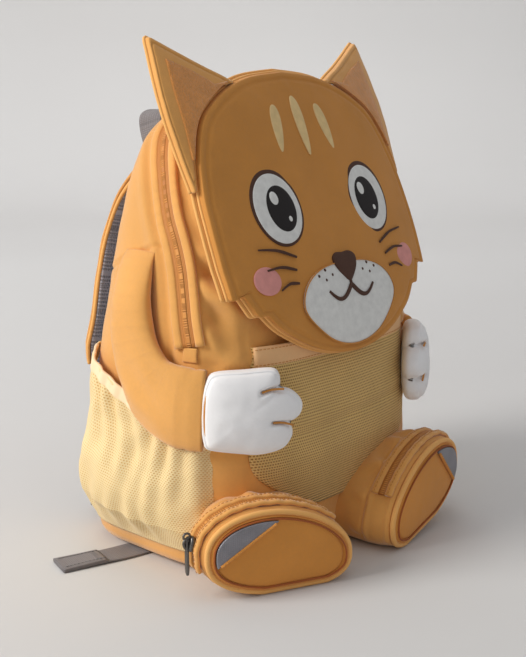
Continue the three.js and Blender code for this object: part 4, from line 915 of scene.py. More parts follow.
MUZZLE_TOP = HEAD_BOTTOM + HEAD_HEIGHT * 0.03 + 56
muzzle_outline = []
for k in range(96):
    angle = math.tau * k / 96
    cheek = 0.85 + 0.15 * abs(math.cos(angle)) if math.sin(angle) > 0 else 1
    muzzle_outline.append((48 * math.cos(angle) * (1 - 0.14 * ease(0.1, -0.7, math.sin(angle))),
                           MUZZLE_TOP - 28 + 28 * math.sin(angle) * cheek))
printed_shape("muzzle_print", "print_white", muzzle_outline, 1.3, "muzzle")
muzzle_line = [on_head(x, z, FACE + 1.2) for x, z in spaced(muzzle_outline, 160, closed=True)]
rope("muzzle_seam", "thread", muzzle_line, 0.45)
for name, side in SIDES:
    for part, look, off, shift, z, width, height, rise, node in (
            ("eye_rim", "brown", 47, 0, 232, 43.5, 47, 0.8, ""),
            ("eye_white", "white", 47, 0, 231.6, 39.5, 42.6, 1.35, f"eye_{name}"),
            ("pupil_print", "black", 44.5, 0, 231.5, 25, 28.5, 1.9, f"pupil_{name}"),
            ("eye_glint", "white", 44.5, -4.5, 238, 7.2, 8.4, 2.3, ""),
            ("eye_spark", "white", 44.5, 4.5, 225, 3.2, 3.6, 2.3, ""),
            ("cheek_print", "pink", 72.4, 0, 190.3, 21, 16.8, 0.9, f"cheek_patch_{name}")):
        printed_shape(f"{part}_{name}", f"print_{look}", oval(side * off + shift, z, width, height),
                      rise, node)
    for row, (z0, z1, x0, x1) in enumerate(((202, 209, 44, 74), (194.5, 196.5, 47, 71),
                                            (186.5, 184, 48, 64))):
        spine = through(((x0, z0), (lerp(x0, x1, 0.5), lerp(z0, z1, 0.5) + 1.8), (x1, z1)), 20)
        frames = []
        for i, (x, z) in enumerate(spine):
            slim = 1 - 0.75 * abs(i / 20 - 0.35)
            frames.append((on_head(side * x, z, FACE + 1.15), Vector((0, -1, 0.2)), 2.1 * slim,
                           0.7))
        finished(swept(frames, oval_ring(3), 10), f"whisker_{name}_{row}", "print_brown")
for name, place, length in (("left", -1, 29.6), ("middle", 0, 38), ("right", 1, 29.6)):
    top = 315 - HEAD_HEIGHT * (0.115 if place else 0.085)
    shape = [(place * 24 + a * (0.75 + b / length * 0.5) - b * place * 0.16, top - length / 2 + b)
             for a, b in oval(0, 0, 12, length)]
    printed_shape(f"stripe_{name}", "print_cream", shape, 0.9, f"forehead_stripe_{name}")
nose_top = MUZZLE_TOP + 2
nose = through(((0, nose_top), (7, nose_top + 0.3), (11.6, nose_top - 3), (10, nose_top - 9),
                (4.5, nose_top - 15), (0, nose_top - 18), (-4.5, nose_top - 15),
                (-10, nose_top - 9), (-11.6, nose_top - 3), (-7, nose_top + 0.3),
                (0, nose_top)), 80)[:-1]
printed_shape("nose_print", "print_brown", nose, 2.6, "nose")
mouth_y = nose_top - 4 - 24 * 0.56
smile = []
for k in range(61):
    t = lerp(-1, 1, k / 60)
    x, z = t * 23, mouth_y - 2.5 - abs(math.sin(abs(t) * math.pi * 0.92)) * 8
    slim = 1 - 0.5 * t * t
    smile.append((on_head(x, z, FACE + 1.7), Vector((0, -1, 0.1)), 3.2 * slim, 1.1))
finished(swept(smile, oval_ring(3), 12), "mouth_print", "print_brown", node="mouth")
lip = [(on_head(0, z, FACE + 1.7), Vector((0, -1, 0.1)), 2.4, 1.1)
       for z in (mouth_y - 2, mouth_y - 0.5, mouth_y + 1, mouth_y + 2.5)]
finished(swept(lip, oval_ring(3), 12), "lip_print", "print_brown")
for name, side in SIDES:
    for row, (x, z) in enumerate(((16, 188), (22, 191.5), (23, 185.5), (29, 188.5))):
        printed_shape(f"freckle_{name}_{row}", "print_brown", oval(side * x, z, 1.9, 1.9, 20),
                      1.6)

# Sleeves and paws
ARM_TABLE = (
    (0, 0.045, 0.50, 0.12), (0.13, 0.045, 0.57, 0.62), (0.35, 0.038, 0.62, 1),
    (0.58, 0.018, 0.72, 1), (0.78, -0.035, 0.86, 1), (0.91, -0.105, 0.96, 1),
    (0.98, -0.2, 1, 1), (1, -0.32, 1, 0.95),
)
PAW_OUTLINE = (
    (1.2, 91), (-0.6, 101.5), (-0.2, 118.9), (2.6, 131.3), (8, 137), (26.5, 138), (43.3, 138.2),
    (47.9, 134.4), (48.6, 127.6), (49.2, 125.8), (55.6, 123.6), (61.1, 118.5), (62.8, 113.6),
    (61.2, 108.1), (56.4, 104.4), (55.4, 102.2), (56.5, 97.8), (55.5, 93), (49.6, 86.8),
    (34.1, 84.3), (14, 86.6), (4, 88.6),
)
PAW_SLITS = (((36.4, 125.1), (42.5, 126.6), (50, 126.4)),
             ((43.3, 105.5), (49.5, 105.1), (56.5, 102.8)))
paw_rim = through(PAW_OUTLINE + (PAW_OUTLINE[0],), 132)[:-1]
paw_turn = math.radians(42)
ARM_TOP, ARM_END = 205, 112
ARM_WIDTH, ARM_THICKNESS = 52, 13


def arm_relief(mesh, side):
    mesh.normal_update()
    for v in mesh.verts:
        p = v.co / MM
        elbow = bump(p.z - 118, 24) * bump(p.y + 8, 26)
        fold = math.sin((p.z - 0.8 * p.y) / 3.6 + 2 * rumple(p, 24, 3))
        d = 1.0 * rumple(p, 22, side) + 0.8 * fold * elbow
        cuff = p.y + 46 + 0.12 * (p.z - 112)
        d -= 0.7 * bump(cuff - 3, 1.3)
        v.co = v.co + v.normal * (d * MM)
    return mesh


def paw_relief(a, b, share):
    d = 1.1 * rumple((a, 0, b), 20, 5) + 0.35 * rumple((a, 0, b), 8, 2)
    for slit in PAW_SLITS:
        d -= 5.0 * groove(a, b, slit, 1.5)
    d -= 1.0 * bump(share - 0.94, 0.02)
    return d


for name, side in SIDES:
    rows = []
    for climb, depth, wide, thick in through(ARM_TABLE, 64):
        z, y = lerp(ARM_TOP, ARM_END, climb), depth * BODY_DEPTH
        p = Vector((side * side_x(y, z), y, z))
        n = body_normal(p)
        rows.append((p + n * (ARM_THICKNESS * thick / 2 + GAP), n, ARM_WIDTH * wide,
                     ARM_THICKNESS * thick))
    arm = finished(arm_relief(swept(rows, oval_ring(2.5), 56), side), f"sleeve_{name}", "orange",
                   node=f"arm_{name}")
    outward = Vector((side * math.sin(paw_turn), -math.cos(paw_turn), 0))
    start = Vector((side * 106, -46, 0))
    heading = Vector((-side * math.cos(paw_turn), -math.sin(paw_turn), 0))

    def paw_place(a, b, out, start=start, heading=heading, outward=outward):
        curl = 0.0022 * max(a - 8, 0) ** 2
        return start + heading * a + outward * (out - curl) + Vector((0, 0, b))

    paw = finished(pillow(paw_rim, (27, 111), paw_place, 264, 80, -1.5, 17.5, 3.0, 1.6,
                          paw_relief),
                   f"paw_pad_{name}", "white", node=f"paw_{name}")
    for row, slit in enumerate(PAW_SLITS):
        line = [paw_place(a, b, 15.6 - 0.5 * k / 10) for k, (a, b) in
                enumerate(through(slit, 16))]
        rope(f"paw_thread_{name}_{row}", "thread", line, 0.7, outward, closed=False)
    cuff = [paw_place(a + 1.6, b, 13.4 - 0.004 * (b - 112) ** 2) for a, b in through(
        ((3.4, 90.5), (0.2, 101.5), (0.4, 118.9), (4.2, 131.3), (8.6, 135.4)), 40)]
    rope(f"paw_cuff_seam_{name}", "thread", cuff, 0.8, outward, closed=False)

# Front pocket: stretch mesh with a banded top
POCKET_LOW, POCKET_TOP, POCKET_HALF = 34, 148.5, 86
FRONT_EDGE = ((0, 0.26), (0.12, 0.62), (0.3, 0.93), (0.6, 0.945), (1, 0.915))


def front_slack(across, share):
    return (8 * (1 - across * across) ** 0.6 * min(share * 3, 1)
            * (0.64 + 0.36 * math.sin(math.pi * share)))


def front_pocket_point(u, v, lift=0.0):
    across = 2 * u - 1
    half = POCKET_HALF * table_at(FRONT_EDGE, 1, v)
    x, z = across * half, lerp(POCKET_LOW, POCKET_TOP, v)
    crease = -1.3 * bump(z - 92 - 4 * across + 2 * rumple((x, 0, z), 40), 3.2)
    crease += 0.9 * bump(z - 99 - 4 * across, 5)
    soft = 0.9 * rumple((x, 0, z), 34, 2) + crease * (1 - across ** 4)
    y = front_y(x, z) - 0.5 - front_slack(across, v) - soft * min(v * 4, 1) - lift
    return Vector((x, y, z))


# The net's darker holes are painted shade inside the pocket.
finished(bent_grid(120, 90, front_pocket_point, (172, 116), outward=False),
         "front_pocket_net", "front_mesh", node="front_pocket", thick=0.9)
band = []
for k in range(61):
    p = front_pocket_point(lerp(0.008, 0.992, k / 60), 0.945, 1.0)
    band.append((p, Vector((p.x * 0.004, -1, 0)), 13, 2.2))
finished(swept(band, oval_ring(6), 20), "front_pocket_band", "peach",
         node="front_pocket_hem")
for row, off in enumerate((-5.0, 5.0)):
    line = [tuple(p + Vector((0, -1.15, off))) for p, _, _, _ in band]
    stitches(f"front_pocket_stitches_{row}", line, [FRONT] * 61, lift=0.05)


# Side pockets: gathered stretch mesh with a slanting elastic hem
def side_pocket_point(side, along, share, lift=0.0):
    top = lerp(92, 137, along)
    z = lerp(16, top, share)
    _, middle, deep = body_section(z)
    y = middle + deep * lerp(-0.74, 0.82, along)
    belly = (math.sin(math.pi * along ** 1.25) ** 0.6 if along > 0 else 0) * (
        0.4 + 0.6 * math.cos(math.pi * (share - 0.36)) ** 2) * min(share * 5, 1)
    p = Vector((side * side_x(y, z), y, z))
    n = body_normal(p)
    sway = 5.2 * rumple((0, y, z * 0.5), 34, side)
    gather = math.sin(along * 46 + sway) * (0.4 + 1.1 * bump(share - 1, 0.28)
                                            + 0.3 * bump(share, 0.2))
    gather += 1.7 * rumple((0, y * 1.6, z * 0.55), 24, 3) + 1.0 * rumple((0, y, z), 13, 6)
    gather *= 0.25 + 0.75 * ease(0.98, 0.86, share)
    return p + n * (0.5 + 16.5 * belly + 1.6 * gather * min(share * 6, 1) + lift)


for name, side in SIDES:
    def net(u, v, side=side):
        return side_pocket_point(side, 1 - u if side < 0 else u, v)

    finished(bent_grid(170, 100, net, (128, 112), outward=False), f"side_pocket_net_{name}",
             "side_mesh", node=f"side_pocket_{name}", thick=0.8)
    band = []
    for k in range(70):
        along = lerp(0.02, 0.98, k / 69)
        p = side_pocket_point(side, along, 0.965, 0.5)
        n = body_normal(p)
        band.append((p, n, 9, 2.4 + 0.5 * math.sin(k * 1.4)))
    finished(swept(band, oval_ring(4), 20), f"side_pocket_band_{name}", "elastic",
             node=f"side_pocket_hem_{name}")

# Feet
FOOT_HALF, FOOT_HEIGHT = 50, 58.5
FOOT_RISE = FOOT_HEIGHT / 2
GUSSET_FRONT, GUSSET_BACK = 2.25, 62
GUSSET_ROWS = 40
SOLE_CENTRE = (0.0, FOOT_HEIGHT * 0.46)
GUSSET = ((0, -0.6, 1), (0.22, 1.2, 1), (0.5, 0.6, 0.89), (0.75, -1.0, 0.70), (1, -2.0, 0.46))


def sole_point(angle):
    inward = (1 - math.cos(angle)) / 2
    rise = signed_power(math.sin(angle), 0.85)
    middle = FOOT_HEIGHT * (0.5 - 0.2 * inward * inward)
    return (FOOT_HALF * math.cos(angle), max(middle + FOOT_RISE * rise * (1 - 0.1 * inward), 0))


def grown(outline, amount):
    made = []
    for i, (a, b) in enumerate(outline):
        before, after = outline[i - 1], outline[(i + 1) % len(outline)]
        dx, dy = after[0] - before[0], after[1] - before[1]
        length = max(math.hypot(dx, dy), 1e-6)
        made.append((a + dy / length * amount, b - dx / length * amount))
    return made


STEPS = 200
sole_line = [sole_point(math.tau * (k + 0.5) / STEPS) for k in range(STEPS)]
sole_line = [tuple(p) for p in spaced(sole_line, STEPS, closed=True)]


class Foot:
    def __init__(self, side, x, y, splay, roll, slider):
        self.side, self.x, self.y, self.slider = side, x, y, slider
        s, r = math.radians(splay), math.radians(roll)
        self.along = Vector((side * math.cos(s), math.sin(s), 0))
        self.depth = Vector((-side * math.sin(s), math.cos(s), 0))
        self.cos, self.sin = math.cos(r), math.sin(r)
        self.lowest = min(a * self.sin + b * self.cos for a, b in sole_line)

    def place(self, a, b, d, floor=0.0):
        up = b - SOLE_CENTRE[1]
        flat = Vector((self.side * self.x, self.y, 0)) + self.along * (
            a * self.cos - up * self.sin) + self.depth * d
        flat.z = max(a * self.sin + b * self.cos - self.lowest, floor)
        return flat

    def out(self, a, b):
        return self.along * (a * self.cos - b * self.sin) + Vector(
            (0, 0, a * self.sin + b * self.cos))


def index_at(degrees):
    """Sample of the sole's line in that direction from its middle."""
    best, goal = 0, math.radians(degrees)
    gap = 9.0
    for i, (a, b) in enumerate(sole_line):
        angle = math.atan2((b - SOLE_CENTRE[1]) / FOOT_RISE, a / FOOT_HALF)
        off = abs((angle - goal + math.pi) % math.tau - math.pi)
        if off < gap:
            best, gap = i, off
    return best


def gusset_rim(share):
    swell = table_at(GUSSET, 1, share)
    drawn = table_at(GUSSET, 2, share)
    return [(a * drawn if a > 0 else a, b) for a, b in grown(sole_line, swell)]


FEET = (("left", Foot(-1, 87.5, -95, 24.9, 0, 17)), ("right", Foot(1, 50, -109, 7, 10, -8)))
ZIP_DEPTH = 11.75
for name, foot in FEET:
    rims = [gusset_rim(r / GUSSET_ROWS) for r in range(GUSSET_ROWS + 1)]

    def gusset_place(u, v, foot=foot, rims=rims):
        i = round(u * STEPS) % STEPS
        r = clamp((v - 0.06) / 0.88) * GUSSET_ROWS
        low_row = min(int(r), GUSSET_ROWS - 1)
        rim_a, rim_b = rims[low_row][i], rims[low_row + 1][i]
        a, b = lerp(rim_a[0], rim_b[0], r - low_row), lerp(rim_a[1], rim_b[1], r - low_row)
        d = lerp(GUSSET_FRONT, GUSSET_BACK, r / GUSSET_ROWS)
        shrink = math.sin(clamp(v / 0.06) * math.pi / 2) if v < 0.06 else (
            math.sin(clamp((1 - v) / 0.06) * math.pi / 2))
        a, b = a * shrink, SOLE_CENTRE[1] + (b - SOLE_CENTRE[1]) * shrink
        if shrink >= 1 and b > 4:
            n = Vector((a / FOOT_HALF, (b - SOLE_CENTRE[1]) / FOOT_RISE))
            n = n.normalized() if n.length else n
            seam = d - ZIP_DEPTH
            wave = 1.4 * bump(seam - 14, 7) * math.sin(i * 0.33 + 2.4 * rumple((a, d, b), 18))
            e = 1.1 * bump(abs(seam) - 7.6, 1.9) - 1.0 * bump(abs(seam) - 10.6, 1.2)
            e += wave + 0.7 * rumple((a, d, b), 15, 4) - 0.8 * bump(seam + 8.6, 1.0)
            e *= ease(4, 14, b)
            a, b = a + n.x * e, b + n.y * e
        return foot.place(a, b, d, 0.05)

    gusset = finished(bent_grid(STEPS, 110, gusset_place, (250, 62)), f"foot_side_{name}",
                      "orange", node=f"foot_gusset_{name}")

    def sole_place(a, b, out, foot=foot):
        return foot.place(a, b, 0.6 - out, 0.1)

    def sole_relief(a, b, share):
        d = 0.55 * rumple((a, 0, b), 26, 3) + 0.2 * rumple((a, 0, b), 9, 7)
        return d - 1.2 * bump(share - 0.925, 0.014) + 0.5 * bump(share - 0.965, 0.02)

    # The sole's darker orange is painted shade.
    sole = finished(pillow(grown(sole_line, -3.4), SOLE_CENTRE, sole_place, STEPS, 90, -1.5, 2.6,
                           6, 1.8, sole_relief), f"foot_face_{name}", "sole",
                    node=f"foot_sole_{name}")
    pipe = [foot.place(a, b, 0, 1.95) for a, b in grown(sole_line, -1.9)]
    rope(f"foot_rim_{name}", "binding", pipe, 1.9, foot.depth, cols=14,
         node=f"foot_piping_{name}")
    # A thin dark cord just inside the piping is painted shade in the crease where piping meets
    # sole.
    lip = [foot.place(a, b, -2.9, 0.9) for a, b in grown(sole_line, -5.4)]
    rope(f"foot_seam_shade_line_{name}", "cord", lip, 0.55, foot.depth)
    inner = grown(sole_line, -6.4)
    first, last = (index_at(-12), index_at(88)) if name == "left" else (index_at(-32),
                                                                        index_at(70))
    arc = [inner[i % STEPS] for i in range(first, last + 1 if last > first else last + STEPS + 1)]
    patch = arc + [tuple(Vector(arc[-1]).lerp(Vector(arc[0]), t / 12)) for t in range(1, 12)]
    finished(pillow(patch, middle_of(patch), sole_place, 150, 20, 2.6, 5.0, 8), f"foot_film_{name}",
             "film", node=f"reflective_patch_{name}")
    edge = [sole_place(*Vector(arc[-1]).lerp(Vector(arc[0]), lerp(0.05, 0.95, t / 30)), 4.9)
            for t in range(31)]
    # The film's edge cord takes the sole's darker orange, which is painted shade.
    rope(f"foot_film_edge_{name}", "sole", edge, 1.0, foot.depth, closed=False)
    stitches(f"foot_film_stitches_{name}", [tuple(p - foot.depth * 0.9) for p in edge],
             [-foot.depth] * 31, 2.6, 1.7)

    # Zip round the front of the foot, between two turned flaps
    rim = rims[round((ZIP_DEPTH - GUSSET_FRONT) / (GUSSET_BACK - GUSSET_FRONT) * GUSSET_ROWS)]
    first, last = index_at(foot.slider - 30), index_at(152)
    span = range(first, (last if last > first else last + STEPS) + 1)

    def strip(shift, lift, width, thickness, foot=foot, rim=rim, span=span):
        rows = []
        for k, i in enumerate(span):
            a, b = rim[i % STEPS]
            before, after = rim[(i - 2) % STEPS], rim[(i + 2) % STEPS]
            n = foot.out(after[1] - before[1], before[0] - after[0]).normalized()
            ripple = 0.25 * math.sin(k * 0.8) * (1 if shift else 0)
            rows.append((foot.place(a, b, ZIP_DEPTH + shift) + n * (lift + ripple), n, width,
                         thickness))
        return rows

    finished(swept(strip(0, 1.0, 7, 1.8), oval_ring(5), 20, across_uv=True),
             f"foot_coil_{name}", "coil", node=f"foot_zip_{name}")
    for row, shift in (("front", -5.2), ("rear", 5.2)):
        finished(swept(strip(shift, 1.5, 5.4, 3.2), oval_ring(2.6), 14),
                 f"foot_flap_{row}_{name}", "orange")
        line = strip(shift, 3.1, 1, 1)
        stitches(f"foot_flap_stitches_{row}_{name}", [tuple(f[0]) for f in line],
                 [f[1] for f in line])

    # Slider and its hanging puller
    i = index_at(foot.slider)
    a, b = rim[i]
    before, after = rim[(i - 3) % STEPS], rim[(i + 3) % STEPS]
    n = foot.out(after[1] - before[1], before[0] - after[0]).normalized()
    t = foot.depth.cross(n).normalized()
    seat = foot.place(a, b, ZIP_DEPTH) + n * 2.2

    def plate(x, y, out, seat=seat, n=n, t=t, foot=foot):
        return seat + foot.depth * x + t * y + n * out

    turns = [k * math.tau / 60 for k in range(60)]
    body_rim = [(x * (4 - 0.9 * math.sin(turn)), y * 4.7)
                for turn, (x, y) in [(turn, squarish(turn, 0.6)) for turn in turns]]
    finished(pillow(body_rim, (0, 0), plate, 60, 20, 0, 3.2, 4), f"foot_slide_{name}", "metal",
             node=f"foot_slider_{name}")
    bridge = [plate(0, y, out) for y, out in
              through(((-3.6, 2.6), (-3.2, 4.6), (0, 6.2), (3.2, 4.6), (3.6, 2.6)), 24)]
    rope(f"foot_slide_bridge_{name}", "metal", bridge, 0.95, foot.depth, closed=False)
    joint = Vector(PULLER_PIVOTS[name])
    hinge = Vector(PULLER_AXES[name])
    level = hinge.cross(Vector((0, 0, 1))).normalized()
    eye_ring = [joint + level * (2.1 * math.cos(k * math.tau / 40)) + Vector(
        (0, 0, 2.1 * math.sin(k * math.tau / 40))) for k in range(40)]
    rope(f"puller_eye_{name}", "metal", eye_ring, 0.75, hinge, body=f"{name}_zip_puller")
    tab = [(1.3, -1.8), (1.5, -6), (2.3, -9), (2.5, -22), (1.8, -24.6), (0, -25.4)]
    tab += [(-x, z) for x, z in reversed(tab[:-1])]
    tab = [tuple(p) for p in spaced(tab, 80, closed=True)]

    def tab_place(x, z, out, joint=joint, hinge=hinge, level=level):
        return joint + hinge * x + level * out + Vector((0, 0, z))

    def tab_relief(a, b, share):
        return -0.5 * bump(abs(a) - 1.2, 0.35) * ease(-8, -10, b) * ease(-23.5, -21.5, b)

    finished(pillow(tab, (0, -13), tab_place, 80, 40, -0.9, 0.9, 4, 0.15, tab_relief),
             f"puller_tab_{name}", "metal", body=f"{name}_zip_puller",
             node=f"foot_puller_{name}")

# Main zip slider and its knotted cord, on the right side
at = Vector((107.6, -37.3, 157.1))
n = body_normal(at)
up = Vector((0, 0, 1)) - n * n.z
up = up.normalized()
across = up.cross(n).normalized()


def at_slider(x, y, out):
    return at + across * x + up * y + n * out


slide_rim = [(x * 4.4, y * 5.2) for x, y in [squarish(turn, 0.6) for turn in turns]]
finished(pillow(slide_rim, (0, 0), at_slider, 60, 20, -1.2, 2.6, 4), "zip_slide", "metal",
         node="main_zip_slider")
for row, line in enumerate((
        ((0, 3.5, 2.2), (1.6, 3.8, 4.4), (2.6, 1.0, 5.8), (1.2, -4.0, 6.6), (-0.8, -9.0, 6.8),
         (0.5, -13.0, 6.6)),
        ((0, 3.5, 2.2), (-1.6, 3.8, 4.4), (-2.6, 1.0, 5.8), (-1.4, -4.0, 6.4), (1.0, -9.0, 6.6),
         (-0.9, -12.4, 6.8)))):
    rope(f"zip_pull_cord_{row}", "cord", [at_slider(*p) for p in through(line, 40)], 1.05, n,
         closed=False, node="" if row else "zip_cord_pull")
knot = [at_slider(2.3 * math.sin(2 * turn), -7.2 + 1.98 * math.cos(turn),
                  6.4 + 1.3 * math.sin(3 * turn)) for turn in turns]
rope("zip_pull_knot", "cord", knot, 0.95, up)

# Back: spacer pad with quilted channels
pad_half = [(83 * (1 - 0.16 * (k / 20) ** 3), lerp(58, 226, k / 20)) for k in range(21)]
pad_rim = [(77, 52.6)] + pad_half + [(64, 231.4)]
pad_rim += [(-x, z) for x, z in reversed(pad_rim)]
pad_rim = [tuple(p) for p in spaced(pad_rim, 260, closed=True)]


def pad_relief(a, b, share):
    lanes = -2.6 * bump(abs(a) - 22, 2.2) * ease(58, 70, b) * ease(226, 214, b)
    rows = -2.0 * bump((b - 66) % 40 - 20, 1.8) * ease(20, 26, abs(a)) * ease(0.97, 0.9, share)
    return lanes + rows + 0.5 * rumple((a, 0, b), 30, 1) - 1.2 * bump(share - 0.93, 0.012)


back = finished(pillow(pad_rim, (0, 142), lambda a, b, out: Vector((a, back_y(a, b) + 0.4 + out,
                                                                     b)),
                       260, 110, 0, 8.4, 9, 0.5, pad_relief), "back_spacer_pad", "spacer",
                node="back_pad")
pad_edge = [Vector((a, back_y(a, b) + 6.6, b)) for a, b in pad_rim]
rope("back_pad_binding", "binding", pad_edge, 1.5, BACK)

# Shoulder straps: orange cloth outside, grey mesh inside
STRAP_TABLE = ((1, 0.72, -0.10), (0.93, 0.74, 0.22), (0.80, 0.80, 0.78), (0.62, 0.88, 1),
               (0.44, 0.96, 0.92), (0.24, 1.05, 0.68), (0.10, 1.09, 0.69), (0, 1.10, 0.70))
STRAP_TOP, STRAP_END, STRAP_OFF, STRAP_BOW, STRAP_STEPS = 258, 112, 52, 22, 70


def back_line(z):
    return table_at(BODY_TABLE, 3, z / BODY_HEIGHT) * BODY_DEPTH


def strap_run(side, shift, width, thickness):
    rows = []
    for k, (climb, wide, off) in enumerate(through(STRAP_TABLE, STRAP_STEPS)):
        z = lerp(STRAP_END, STRAP_TOP, climb)
        y = back_line(z) + GAP + STRAP_BOW * off + 4
        end = min(k, STRAP_STEPS - k) / 10
        trim = 0.86 + 0.14 * min(end, 1)
        rows.append((Vector((side * wide * STRAP_OFF, y + shift, z)), BACK, width * trim,
                     thickness * (0.6 + 0.4 * min(end, 1))))
    return rows


WEB = 21
LOCK_HALF, LOCK_REACH, LOCK_DROP = 13, 10, 13.05
for name, side in SIDES:
    outer = ruffled(swept(strap_run(side, 1.9, 46, 4.4), oval_ring(3.2), 44), 0.5, 18, side)
    strap = finished(outer, f"strap_cover_{name}", "orange",
                     node=f"shoulder_strap_{name}")
    inner = swept(strap_run(side, -1.9, 43, 4.2), oval_ring(3.2), 44)
    lining = finished(inner, f"strap_lining_{name}", "spacer")
    run = strap_run(side, 0, 46, 2)
    for row, edge in (("inner", -1), ("outer", 1)):
        line = [p + Vector((edge * width * 0.49, 0, 0)) for p, _, width, _ in run]
        rope(f"strap_binding_{row}_{name}", "binding", line, 1.35, BACK, closed=False)
    end = run[-1][0]
    lock = Vector((end.x, end.y, end.z - LOCK_DROP))
    ring = []
    for k in range(80):
        x, z = squarish(math.tau * k / 80, 0.35)
        ring.append(lock + Vector((x * LOCK_HALF, 0, z * LOCK_REACH)))
    rope(f"lock_frame_{name}", "plastic", ring, 2.0, BACK, cols=12,
         node=f"strap_buckle_{name}")
    rope(f"lock_bar_{name}", "plastic", [lock + Vector((x, 0, 0)) for x in (-13, -5, 5, 13)], 1.9,
         BACK, closed=False, cols=12)
    bar = lock.z - LOCK_REACH
    reach = 5.0
    x = abs(lock.x)
    anchor = 82
    fall = lock.y + reach
    rows = [(anchor, back_y(anchor - 10, 13) + 2, 13, 0, -1, 0),
            (anchor * 0.99, back_y(anchor - 10, 26) + 3, 26, 0, -1, 0),
            (anchor * 0.94, lock.y - 3, 46, 0, -1, 0), (x, lock.y - reach, bar - 8, 0, -1, 0),
            (x, lock.y - reach, bar, 0, -1, 0), (x, lock.y - 2.5, bar + 3.6, 0, -0.7, 0.7),
            (x, lock.y + 2.5, bar + 3.6, 0, 0.7, 0.7), (x, fall, bar, 0, 1, 0),
            (x, fall + 1, bar - 20, 0, 1, 0), (x * 0.99, fall + 3, bar - 48, 0, 1, 0)]
    if name == "left":
        rows += [(x * 0.98, fall + 3, 14, 0, 1, 0), (x * 0.97, fall + 1, 5, 0, 0.8, 0.6),
                 (x * 0.96, fall - 4, 1.7, 0, 0.25, 0.97), (x * 0.95, fall - 12, 0.9, 0, 0, 1),
                 (x * 0.93, 60, 0.9, 0, 0, 1), (x * 0.93, 36, 0.9, 0, 0, 1),
                 (x * 0.99, 19.5, 0.9, 0, 0, 1), (x * 1.14, 12.8, 0.9, 0, 0, 1),
                 (x * 1.36, 14.3, 0.9, 0, 0, 1), (111, 20.3, 1.1, 0, 0, 1),
                 (135, 27.8, 1.3, 0, 0.05, 1), (157, 35.3, 1.0, 0, 0, 1)]
    else:
        rows += [(x * 0.98, fall + 4, bar - 70, 0, 1, 0)]
    line = through(rows, 180)
    strip = [(Vector((side * a, b, c)), Vector((side * d, e, f)).normalized(), WEB, 1.5)
             for a, b, c, d, e, f in line]
    web = swept(strip, oval_ring(7), 24, across_uv=True)
    for v in web.verts:
        v.co.z = max(v.co.z, 0.1 * MM)
    finished(web, f"webbing_{name}", "webbing", node=f"strap_webbing_{name}")
    fold = [(p + n * 1.1, n, width, 1.6) for p, n, width, _ in strip[-12:]]
    finished(swept(fold, oval_ring(6), 24, across_uv=True), f"webbing_fold_{name}", "webbing")
    for row, shift in enumerate((-7.5, 7.5)):
        seam = []
        for (p, n, _, _), (q, _, _, _) in zip(strip[-12:-1], strip[-11:]):
            seam.append(tuple(p + n * 2.0 + (q - p).cross(n).normalized() * shift))
        stitches(f"fold_stitches_{name}_{row}", seam, [strip[-3][1]] * 11, 2.4, 1.5,
                 look="plastic", slot="grey_webbing")

# Grab loop
loop_y = back_y(46, 261) + WEB / 2 - 2
half_loop = [(-45, 0, 261, -1, 0, 0), (-46, 4.5, 275, -1, 0, 0), (-44, 7.2, 284, -0.9, 0, 0.4),
             (-39, 9, 288, -0.45, 0, 0.9), (-31, 9, 289, 0, 0, 1), (-16, 9, 287, 0, 0, 1)]
loop_rows = half_loop + [(0, 9, 286, 0, 0, 1)] + [
    (-x, y, z, -a, b, c) for x, y, z, a, b, c in reversed(half_loop)]
loop_strip = [(Vector((x, loop_y + y, z)), Vector((a, b, c)).normalized(), WEB, 1.8)
              for x, y, z, a, b, c in through(loop_rows, 90)]
finished(swept(loop_strip, oval_ring(6), 24, across_uv=True), "carry_loop", "webbing",
         node="grab_loop")

# Base: the flat cloth bottom
base_rim = []
base_half, base_middle, base_deep = body_section(0)
for k in range(200):
    c, s = math.cos(math.tau * k / 200), math.sin(math.tau * k / 200)
    r = corner_reach(c, s) * 1.02
    base_rim.append((base_half * r * c, base_middle + base_deep * r * s))
finished(pillow(base_rim, (0, base_middle), lambda a, b, out: Vector((a, b, out)), 200, 40, 1.7,
                5.4, 8), "base_cloth", "orange", node="base_panel")

# Camera, light and floor
eye = Vector((-0.5906, -0.5260, 0.3134))
right = Vector((0.663, -0.749, 0.0)).normalized()
backward = Vector((-0.731, -0.647, 0.2157)).normalized()
upward = backward.cross(right)
camera_data = bpy.data.cameras.new("camera")
camera = bpy.data.objects.new("camera", camera_data)
bpy.context.scene.collection.objects.link(camera)
turn = Matrix((right, upward, backward)).transposed().to_4x4()
camera.matrix_world = Matrix.Translation(eye) @ turn
camera_data.lens = 63.0
camera_data.sensor_width = 36
camera_data.clip_start = 0.01
bpy.context.scene.camera = camera


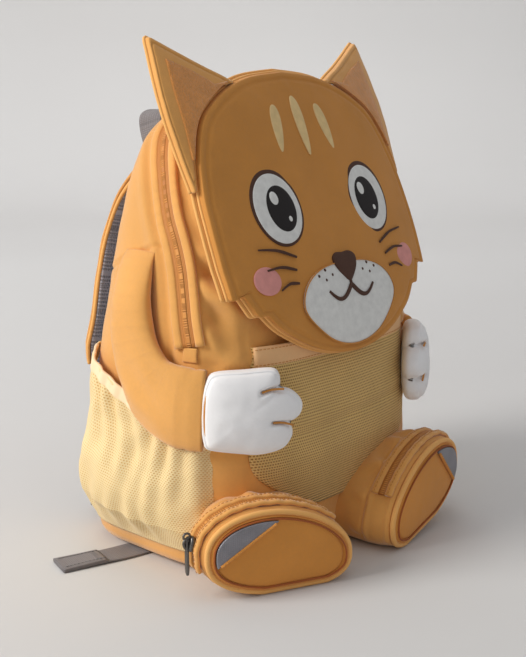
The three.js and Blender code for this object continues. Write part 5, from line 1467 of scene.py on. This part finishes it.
def soft_light(name, at, aim, size, power, colour, spread=180):
    data = bpy.data.lights.new(name, "AREA")
    data.shape = "DISK"
    data.size = size
    data.energy = power
    data.color = colour
    data.spread = math.radians(spread)
    lamp = bpy.data.objects.new(name, data)
    lamp.matrix_world = (Matrix.Translation(at)
                         @ (Vector(at) - Vector(aim)).to_track_quat("Z", "Y").to_matrix().to_4x4())
    bpy.context.scene.collection.objects.link(lamp)


soft_light("window", (-1.5, 0.75, 1.1), (0, 0, 0.15), 0.9, 31, (1.0, 0.975, 0.94))
soft_light("sky", (-0.2, -0.1, 2.2), (0, 0, 0.1), 1.6, 2.5, (1.0, 0.99, 0.97))
soft_light("wall", (0.5, 0.9, 2.6), (2.2, 1.9, 0.9), 1.4, 26, (1.0, 0.99, 0.985), 150)
world = bpy.data.worlds.new("studio")
bpy.context.scene.world = world
world.use_nodes = True
world.node_tree.nodes["Background"].inputs["Color"].default_value = (0.86, 0.87, 0.9, 1)
world.node_tree.nodes["Background"].inputs["Strength"].default_value = 0.46
bpy.context.scene.view_settings.view_transform = "Standard"


FLOOR_END, CURVE = 1800, 500
CURVE_RUN = 785


def backdrop_place(u, v):
    """Floor that curves up into a wall behind the bag."""
    x = lerp(-4000, 4000, u)
    run = lerp(-2500, 6500, v)
    if run < FLOOR_END:
        y, z = run, 0.0
    elif run < FLOOR_END + CURVE_RUN:
        a = (run - FLOOR_END) / CURVE
        y, z = FLOOR_END + CURVE * math.sin(a), CURVE * (1 - math.cos(a))
    else:
        y, z = FLOOR_END + CURVE, CURVE + run - FLOOR_END - CURVE_RUN
    return Matrix.Rotation(math.radians(-48.5), 3, "Z") @ Vector((x, y, z - 0.02))


stage_finish = Finish("studio_paper", roughness=0.9, specular=0.15)
tone = stage_finish.between(stage_finish.noise(900, 2), 0.3, 0.7)
stage_finish.paint(colour=stage_finish.mix(tone, (0.635, 0.625, 0.615), (0.67, 0.665, 0.655)))
backdrop = smooth_object(bent_grid(60, 90, backdrop_place, outward=False), "backdrop",
                         stage_finish.material)
